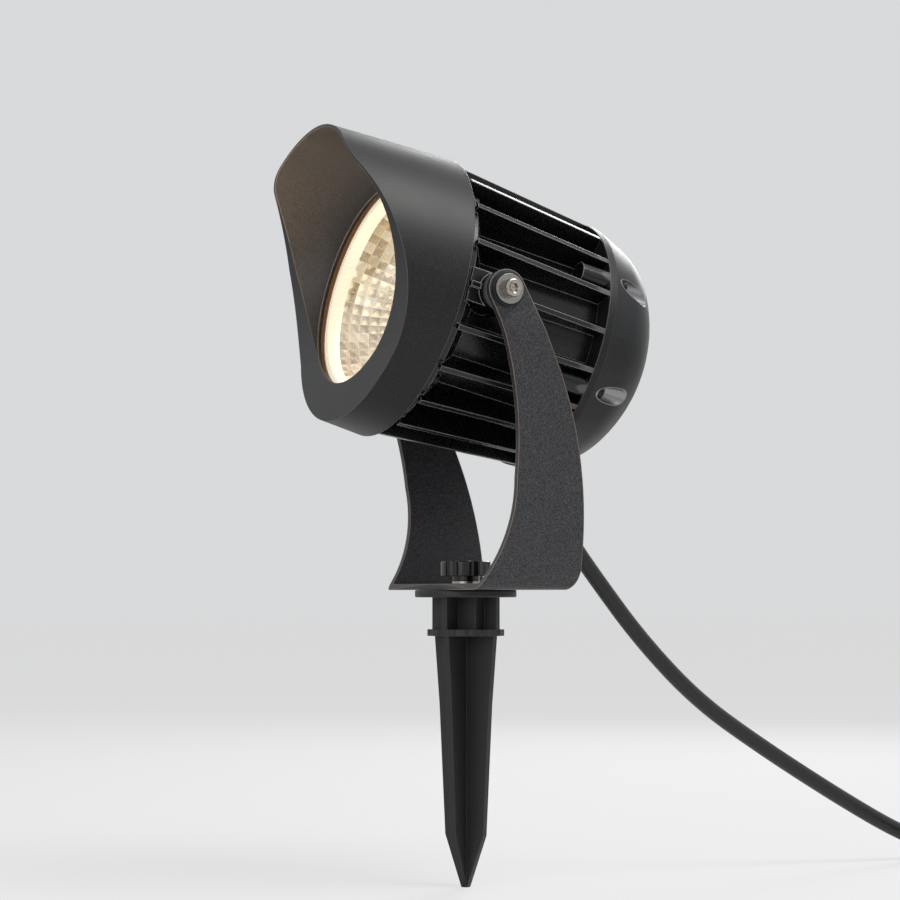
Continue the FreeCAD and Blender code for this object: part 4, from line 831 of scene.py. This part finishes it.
@dataclass(frozen=True)
class LampAxis:
    """Axis of the lamp head, tilted up from level."""

    tilt: float = math.radians(LAMP_TILT)

    @property
    def pivot(self) -> Vector:
        """Middle of the tilt axis, from the frame."""
        return Vector(next(j["pos_m"] for j in frame["joints"] if j["name"] == "head_tilt"))

    @property
    def forward(self) -> Vector:
        """Direction of the light."""
        return Vector((0.0, -math.cos(self.tilt), math.sin(self.tilt)))

    @property
    def up(self) -> Vector:
        """Direction square to the light and to the tilt axis."""
        return Vector((0.0, math.sin(self.tilt), math.cos(self.tilt)))

    def at(self, radius: float, angle: float, station: float) -> Vector:
        """Place at a radius and angle about the axis and a station along it."""
        across = ACROSS * (radius * math.cos(angle))
        return self.pivot + self.forward * station + across + self.up * (radius * math.sin(angle))


@dataclass
class FacetedReflector:
    """Spun reflector with pillow facets, a plain band behind its rim and a flange."""

    rim_radius: float = 47.5 * MM
    rim_front: float = 32.1 * MM
    band_end: float = 25.6 * MM
    middle: tuple[float, float] = (33.5 * MM, 4.5 * MM)
    hole: tuple[float, float] = (11.0 * MM, -11.0 * MM)
    wall: float = 1.2 * MM
    flange_radius: float = 50.8 * MM
    sectors: int = 54
    rows: int = 11
    steps: int = 4
    bulge: float = 0.55 * MM
    golden_most: float = 0.55
    golden_depth: float = 0.62
    golden_reach: float = 0.3
    draw_steps: int = 997
    axis: LampAxis = LampAxis()

    @property
    def points_round(self) -> int:
        """Points of one ring."""
        return self.sectors * self.steps

    def bowl_arc(self) -> tuple[Vector, float, float, float]:
        """Circle through the bowl's three points.

        Returns:
            Its middle as (radius, station), its radius, and the angles at the band and the hole.
        """
        a = Vector((self.rim_radius, self.band_end))
        b = Vector(self.middle)
        c = Vector(self.hole)
        double = 2 * (a.x * (b.y - c.y) + b.x * (c.y - a.y) + c.x * (a.y - b.y))
        first, second, third = (point.length_squared for point in (a, b, c))
        x = (first * (b.y - c.y) + second * (c.y - a.y) + third * (a.y - b.y)) / double
        y = (first * (c.x - b.x) + second * (a.x - c.x) + third * (b.x - a.x)) / double
        middle = Vector((x, y))
        start = math.atan2(a.y - y, a.x - x)
        end = math.atan2(c.y - y, c.x - x)
        return middle, (a - middle).length, start, end

    def bowl_point(self, share: float, lift: float) -> tuple[float, float]:
        """Radius and station of the bowl.

        Args:
            share: from 0 at the band to 1 at the hole.
            lift: height over the bowl's inside; below zero it lies in or behind the wall.

        Returns:
            The radius and the station.
        """
        middle, radius, start, end = self.bowl_arc()
        angle = start + (end - start) * share
        reach = radius - lift
        return middle.x + reach * math.cos(angle), middle.y + reach * math.sin(angle)

    def pillow(self, place: float) -> float:
        """Height of a pillow over its edge, from 0 to 1, at a place counted in pillows."""
        return 1.0 - (2.0 * (place % 1.0) - 1.0) ** 2

    def ring(self, radius: float, station: float) -> list[Vector]:
        """Plain ring of the reflector."""
        return [self.axis.at(radius, angle, station) for angle in turns(self.points_round)]

    def facet_ring(self, row: int) -> list[Vector]:
        """One ring of the faceted inside, counted from the band."""
        share = row / (self.rows * self.steps)
        along = self.pillow(row / self.steps)
        points = []
        for step, angle in enumerate(turns(self.points_round)):
            lift = self.bulge * along * self.pillow(step / self.steps)
            radius, station = self.bowl_point(share, lift)
            points.append(self.axis.at(radius, angle, station))
        return points

    def facet_tone(self, sector: int, row: int, tones: int) -> int:
        """Choose a finish for a facet, most often the golden one, a painted reflection of the
        yellow phosphor, at one depth of the bowl.

        Args:
            sector: place of the facet round the axis.
            row: its row, counted from the band.
            tones: how many finishes there are, the last one the most golden.

        Returns:
            The number of the finish.
        """
        draw = random.Random(sector * self.rows + row).random()
        depth = row / self.rows
        nearness = max(0.0, 1.0 - abs(depth - self.golden_depth) / self.golden_reach)
        if draw < self.golden_most * nearness:
            return tones - 1
        return int(draw * self.draw_steps) % (tones - 1)

    def build(self, facets: Sequence[bpy.types.Material],
              band: bpy.types.Material) -> bpy.types.Object:
        """Make the reflector.

        Args:
            facets: finishes of the facets, the last one the most golden.
            band: finish of the band behind the rim.

        Returns:
            The piece.
        """
        outer = self.rim_radius + self.wall
        flange_back = self.rim_front - self.wall
        rings = [self.facet_ring(row) for row in range(self.rows * self.steps, -1, -1)]
        rings += [self.ring(self.rim_radius, self.rim_front),
                  self.ring(self.flange_radius, self.rim_front),
                  self.ring(self.flange_radius, flange_back), self.ring(outer, flange_back),
                  self.ring(outer, self.band_end)]
        rings += [self.ring(*self.bowl_point(row / self.rows, -self.wall))
                  for row in range(1, self.rows + 1)]
        shape = bmesh.new()
        add_rings(shape, rings, loop=True)
        piece = finished("faceted_reflector", shape, CREASE_ANGLE)
        for finish in (*facets, band):
            piece.data.materials.append(finish)
        for index, face in enumerate(piece.data.polygons):
            ring, step = divmod(index, self.points_round)
            row = self.rows - 1 - ring // self.steps
            face.material_index = len(facets)
            if row >= 0:
                face.material_index = self.facet_tone(step // self.steps, row, len(facets))
        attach(piece, BodyName.LAMP.value)
        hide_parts("reflector")
        log.info("faceted_reflector: %d facets", self.sectors * self.rows)
        return piece


@dataclass
class LampGlow:
    """Warm light that leaves the lit lamp, set in front of its glass."""

    radius: float = 44.0 * MM
    station: float = 36.8 * MM
    watts: float = 0.8
    tint: Triple = (1.0, 0.70, 0.42)
    spread: float = math.radians(165.0)
    axis: LampAxis = LampAxis()

    def build(self, carrier: bpy.types.Object) -> None:
        """Add the light as a child of a piece, so that it tilts with the lamp."""
        data = bpy.data.lights.new("lamp_glow", "AREA")
        data.shape = "DISK"
        data.size = 2 * self.radius
        data.energy = self.watts
        data.color = self.tint
        data.spread = self.spread
        lamp = linked("lamp_glow", data)
        lamp.location = self.axis.at(0.0, 0.0, self.station)
        lamp.rotation_euler = facing(self.axis.forward)
        lamp.visible_camera = False
        lamp.visible_glossy = False
        lamp.parent = carrier


@dataclass
class PivotScrews:
    """Socket screws of the tilt pivots: knurled head, chamfered hexagon socket, plain shank.

    The head's chamfer is a share of its radius, and the knurls' run-out and the rim are given in
    chamfers.
    """

    seat: float = 79.2 * MM
    head_radius: float = 4.25 * MM
    head_height: float = 5.0 * MM
    shank_radius: float = 2.5 * MM
    shank_length: float = 24.0 * MM
    shank_chamfer: float = 0.4 * MM
    chamfer_share: float = 0.1
    socket_across: float = 4.0 * MM
    socket_depth: float = 2.6 * MM
    socket_corners: int = 6
    mouth_share: float = 1.32
    mouth_depth: float = 0.45 * MM
    drill_depth: float = 0.5 * MM
    drill_radius: float = 0.6 * MM
    knurls: int = 36
    knurl_depth: float = 0.22 * MM
    knurl_start: tuple[float, float] = (0.3 * MM, 0.5 * MM)
    knurl_end: tuple[float, float] = (2.0, 1.6)
    rim: tuple[tuple[float, float], ...] = ((0.5, 0.6), (0.0, 1.5))
    points_per_knurl: int = 4
    axis: LampAxis = LampAxis()

    def hexagon(self, angle: float) -> float:
        """Radius of the socket's hexagon at an angle."""
        corner = math.radians(360.0 / self.socket_corners)
        return self.socket_across / 2 / math.cos((angle % corner) - corner / 2)

    def knurled(self, angle: float) -> float:
        """Radius of the knurled side at an angle."""
        return self.head_radius - self.knurl_depth * (0.5 + 0.5 * math.cos(self.knurls * angle))

    def profile(self) -> list[tuple[float, RadiusAt]]:
        """Rings from the shank's end to the socket's floor.

        Returns:
            The height over the seat and the radius as a function of the angle, ring by ring.
        """
        chamfer = self.chamfer_share * self.head_radius
        top = self.head_height
        floor = top - self.socket_depth
        foot, knurled_from = self.knurl_start
        knurled_to, shoulder = self.knurl_end
        plain = round_at(self.head_radius - self.knurl_depth / 2)
        return [
            (-self.shank_length, round_at(self.shank_radius - self.shank_chamfer)),
            (-self.shank_length + self.shank_chamfer, round_at(self.shank_radius)),
            (0.0, round_at(self.shank_radius)),
            (0.0, round_at(self.head_radius - chamfer / 2)),
            (foot, plain),
            (knurled_from, self.knurled),
            (top - knurled_to * chamfer, self.knurled),
            (top - shoulder * chamfer, plain),
            *((top - drop * chamfer, round_at(self.head_radius - inset * chamfer))
              for drop, inset in self.rim),
            (top, round_at(self.socket_across / 2 * self.mouth_share)),
            (top - self.mouth_depth, self.hexagon),
            (floor, self.hexagon),
            (floor - self.drill_depth, round_at(self.drill_radius)),
        ]

    def build(self, material: bpy.types.Material) -> None:
        """Make the screws of both arms as one piece."""
        angles = turns(self.knurls * self.points_per_knurl)
        shape = bmesh.new()
        for side in (1.0, -1.0):
            rings = []
            for height, radius_at in self.profile():
                x = side * (self.seat + height)
                rings.append([self.axis.pivot + Vector((x, radius_at(a) * math.cos(a),
                                                        radius_at(a) * math.sin(a)))
                              for a in angles])
            add_rings(shape, rings)
        piece = finished("knurled_pivot_screws", shape)
        piece.data.materials.append(material)
        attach(piece, BodyName.LAMP.value)
        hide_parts("pivot_screws")
        log.info("knurled_pivot_screws: two screws")


@dataclass
class StrainRelief:
    """Sealing nut of the gland with its grip flutes and its ringed, tapered sleeve."""

    lean: float = math.radians(20.0 - LAMP_TILT)
    mouth: tuple[float, float] = (50.30 * MM, 68.14 * MM)
    nut_length: float = 11.0 * MM
    nut_radius: float = 9.0 * MM
    flutes: int = 18
    flute_depth: float = 0.5 * MM
    foot_chamfer: float = 0.6 * MM
    plain_end: float = 3.2 * MM
    shoulder: float = 2.4 * MM
    shoulder_steps: int = 6
    neck_bore: float = 7.05 * MM
    cable_bore: float = 4.15 * MM
    neck_end: float = 8.0 * MM
    sleeve_length: float = 7.6 * MM
    sleeve_root: float = 6.6 * MM
    sleeve_tip: float = 6.0 * MM
    sleeve_flare: float = 5.3 * MM
    sleeve_rings: int = 3
    ring_depth: float = 0.45 * MM
    steps_per_ring: int = 4
    points_per_flute: int = 6

    def fluted(self, angle: float) -> float:
        """Radius of the fluted grip at an angle."""
        wave = 0.5 + 0.5 * math.cos(self.flutes * angle)
        return self.nut_radius - self.flute_depth * wave ** 2

    def profile(self) -> list[tuple[float, RadiusAt]]:
        """Rings round the nut's section: up its outside, down its bore.

        Returns:
            The height over the nut's foot and the radius as a function of the angle.
        """
        rings = [(0.0, round_at(self.neck_bore)),
                 (0.0, round_at(self.nut_radius - self.foot_chamfer)),
                 (self.foot_chamfer, self.fluted), (self.nut_length - self.plain_end, self.fluted)]
        for step in range(1, self.shoulder_steps):
            angle = math.radians(90.0) * step / self.shoulder_steps
            radius = self.nut_radius - self.shoulder * (1 - math.cos(angle)) - self.flute_depth / 2
            rings.append((self.nut_length - self.shoulder * (1 - math.sin(angle)),
                          round_at(radius)))
        rings.append((self.nut_length, round_at(self.sleeve_root)))
        count = self.steps_per_ring * self.sleeve_rings
        for step in range(1, count + 1):
            share = step / count
            radius = self.sleeve_root + (self.sleeve_tip - self.sleeve_root) * share
            wave = 0.5 - 0.5 * math.cos(2 * math.pi * share * self.sleeve_rings)
            rings.append((self.nut_length + self.sleeve_length * share,
                          round_at(radius - self.ring_depth * wave)))
        rings += [(self.nut_length + self.sleeve_length, round_at(self.sleeve_flare)),
                  (self.nut_length, round_at(self.cable_bore)),
                  (self.neck_end, round_at(self.cable_bore)),
                  (self.neck_end, round_at(self.neck_bore))]
        return rings

    def build(self, material: bpy.types.Material) -> None:
        """Make the nut and its sleeve as one piece."""
        along = Vector((0.0, math.sin(self.lean), -math.cos(self.lean)))
        other = along.cross(ACROSS)
        foot = Vector((0.0, *self.mouth)) - along * self.nut_length
        rings = []
        for height, radius_at in self.profile():
            middle = foot + along * height
            rings.append([middle + (ACROSS * math.cos(a) + other * math.sin(a)) * radius_at(a)
                          for a in turns(self.flutes * self.points_per_flute)])
        shape = bmesh.new()
        add_rings(shape, rings, loop=True)
        piece = finished("strain_relief", shape)
        piece.data.materials.append(material)
        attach(piece, BodyName.LAMP.value)
        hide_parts("gland_nut")
        log.info("strain_relief: %d flutes", self.flutes)


# ---- Dressing of the frame's own pieces ------------------


FINISHES: tuple[Finish, ...] = (
    PowderCoat("hood_coat", colour(0.011, 0.0115, 0.013), 0.44, grain=0.55 * MM,
               grain_strength=0.5, speckle=0.6),
    # fin_coat: painted highlights along its edges and on its fin tips.
    PowderCoat("fin_coat", colour(0.004, 0.0043, 0.005), 0.26, grain=0.8 * MM,
               grain_strength=0.3, speckle=0.4, gloss=0.5, edge_width=0.6 * MM,
               painted_edge_highlight=colour(0.42, 0.43, 0.45), tip_highlight_cone=(-14.0 * MM, 67.9 * MM, 0.1184)),
    PowderCoat("cap_coat", colour(0.010, 0.0105, 0.012), 0.42, grain=0.6 * MM,
               grain_strength=0.3, speckle=0.5, pockets=(50.79 * MM, 25.88 * MM, 4.4 * MM)),
    # yoke_coat: painted warm highlight along its edges.
    PowderCoat("yoke_coat", colour(0.036, 0.037, 0.041), 0.46, grain=0.6 * MM,
               grain_strength=0.85, speckle=0.8, gloss=0.5, painted_edge_highlight=colour(0.38, 0.26, 0.19)),
    Metal("stainless", colour(0.47, 0.43, 0.38), 0.17),
    Metal("washer_steel", colour(0.34, 0.33, 0.32), 0.22),
    Metal("zinc", colour(0.55, 0.56, 0.58), 0.3),
    Metal("black_zinc", colour(0.03, 0.03, 0.033), 0.34),
    Metal("nickel", colour(0.62, 0.60, 0.56), 0.28),
    Metal("plain_aluminium", colour(0.75, 0.75, 0.76), 0.35),
    # knob_gloss and spike_grain: strong painted highlights along their edges.
    Moulding("knob_gloss", colour(0.007, 0.007, 0.008), 0.14, grain_strength=0.05,
             painted_edge_light=9.0),
    Moulding("spike_grain", colour(0.013, 0.013, 0.014), 0.46, grain_strength=0.7,
             painted_edge_light=9.0),
    Moulding("black_nylon", colour(0.008, 0.008, 0.009), 0.4),
    Moulding("silicone", colour(0.010, 0.010, 0.010), 0.55),
    # Lens gasket: painted glow, as if lit by the lamp from behind.
    Moulding("gasket_painted_glow", colour(0.20, 0.095, 0.035), 0.5, glow=0.5),
    Moulding("rubber", colour(0.009, 0.009, 0.010), 0.40, grain=0.8 * MM, grain_strength=0.15),
    Moulding("white_plastic", colour(0.80, 0.79, 0.75), 0.45),
    Moulding("driver_case", colour(0.02, 0.02, 0.022), 0.5),
    ClearGlass("clear_glass"),
    # Copies of one reflector metal with painted glow of different strengths; facet_golden paints
    # the yellow phosphor's reflection, lit_band a bright painted glow on the band behind the rim.
    LitMetal("facet_pale", 0.27),
    LitMetal("facet_soft", 0.13),
    LitMetal("facet_bright", 0.50, colour(1.0, 0.90, 0.70)),
    LitMetal("facet_golden", 0.16, colour(1.0, 0.58, 0.20), metal=colour(0.42, 0.26, 0.10)),
    LitMetal("lit_band", 1.0, colour(1.0, 0.93, 0.78), 0.03, metal=colour(0.85, 0.78, 0.64)),
    Glow("emitter_glow"),
)

WORN = {
    "ground_spike": "spike_grain", "clamp_nut": "zinc", "knob_stud": "zinc",
    "clamp_knob": "knob_gloss", "base_washer": "stainless", "yoke_bracket": "yoke_coat",
    "pivot_black_washers": "black_nylon", "plug_body": "rubber", "plug_pins": "nickel",
    "power_cord": "rubber", "cord_coil": "rubber", "plug_lead": "rubber",
    "heatsink_body": "fin_coat", "glare_hood": "hood_coat", "front_glass": "clear_glass",
    "lens_gasket": "gasket_painted_glow", "reflector": "facet_pale", "led_holder": "white_plastic",
    "led_board": "plain_aluminium", "led_emitter": "emitter_glow", "led_driver": "driver_case",
    "rear_cap": "cap_coat", "cap_gasket": "silicone", "cap_screws": "black_zinc",
    "hood_screws": "black_zinc", "holder_screws": "stainless", "gland_body": "nickel",
    "gland_nut": "nickel", "gland_seal": "silicone", "pivot_screws": "stainless",
    "pivot_steel_washers": "washer_steel", "tilt_friction_washers": "black_nylon",
}


@dataclass
class Wardrobe:
    """The made finishes, by name."""

    materials: dict[str, bpy.types.Material] = field(default_factory=dict)

    def build(self) -> None:
        """Make every finish and give each piece of the frame its own."""
        for finish in FINISHES:
            self.materials[finish.name] = finish.build()
        for node, name in WORN.items():
            piece = frame["nodes"][node]
            piece.data.materials.clear()
            piece.data.materials.append(self.materials[name])
            log.info("%s wears %s", node, name)


def main() -> None:
    """Build the scene piece by piece."""
    logging.basicConfig(level=logging.INFO)
    Studio().build()
    wardrobe = Wardrobe()
    wardrobe.build()
    SupplyCable().build(wardrobe.materials["rubber"])
    tones = ("facet_pale", "facet_soft", "facet_bright", "facet_golden")
    reflector = FacetedReflector().build([wardrobe.materials[tone] for tone in tones],
                                         wardrobe.materials["lit_band"])
    LampGlow().build(reflector)
    PivotScrews().build(wardrobe.materials["stainless"])
    StrainRelief().build(wardrobe.materials["nickel"])


if __name__ == "__main__":
    main()
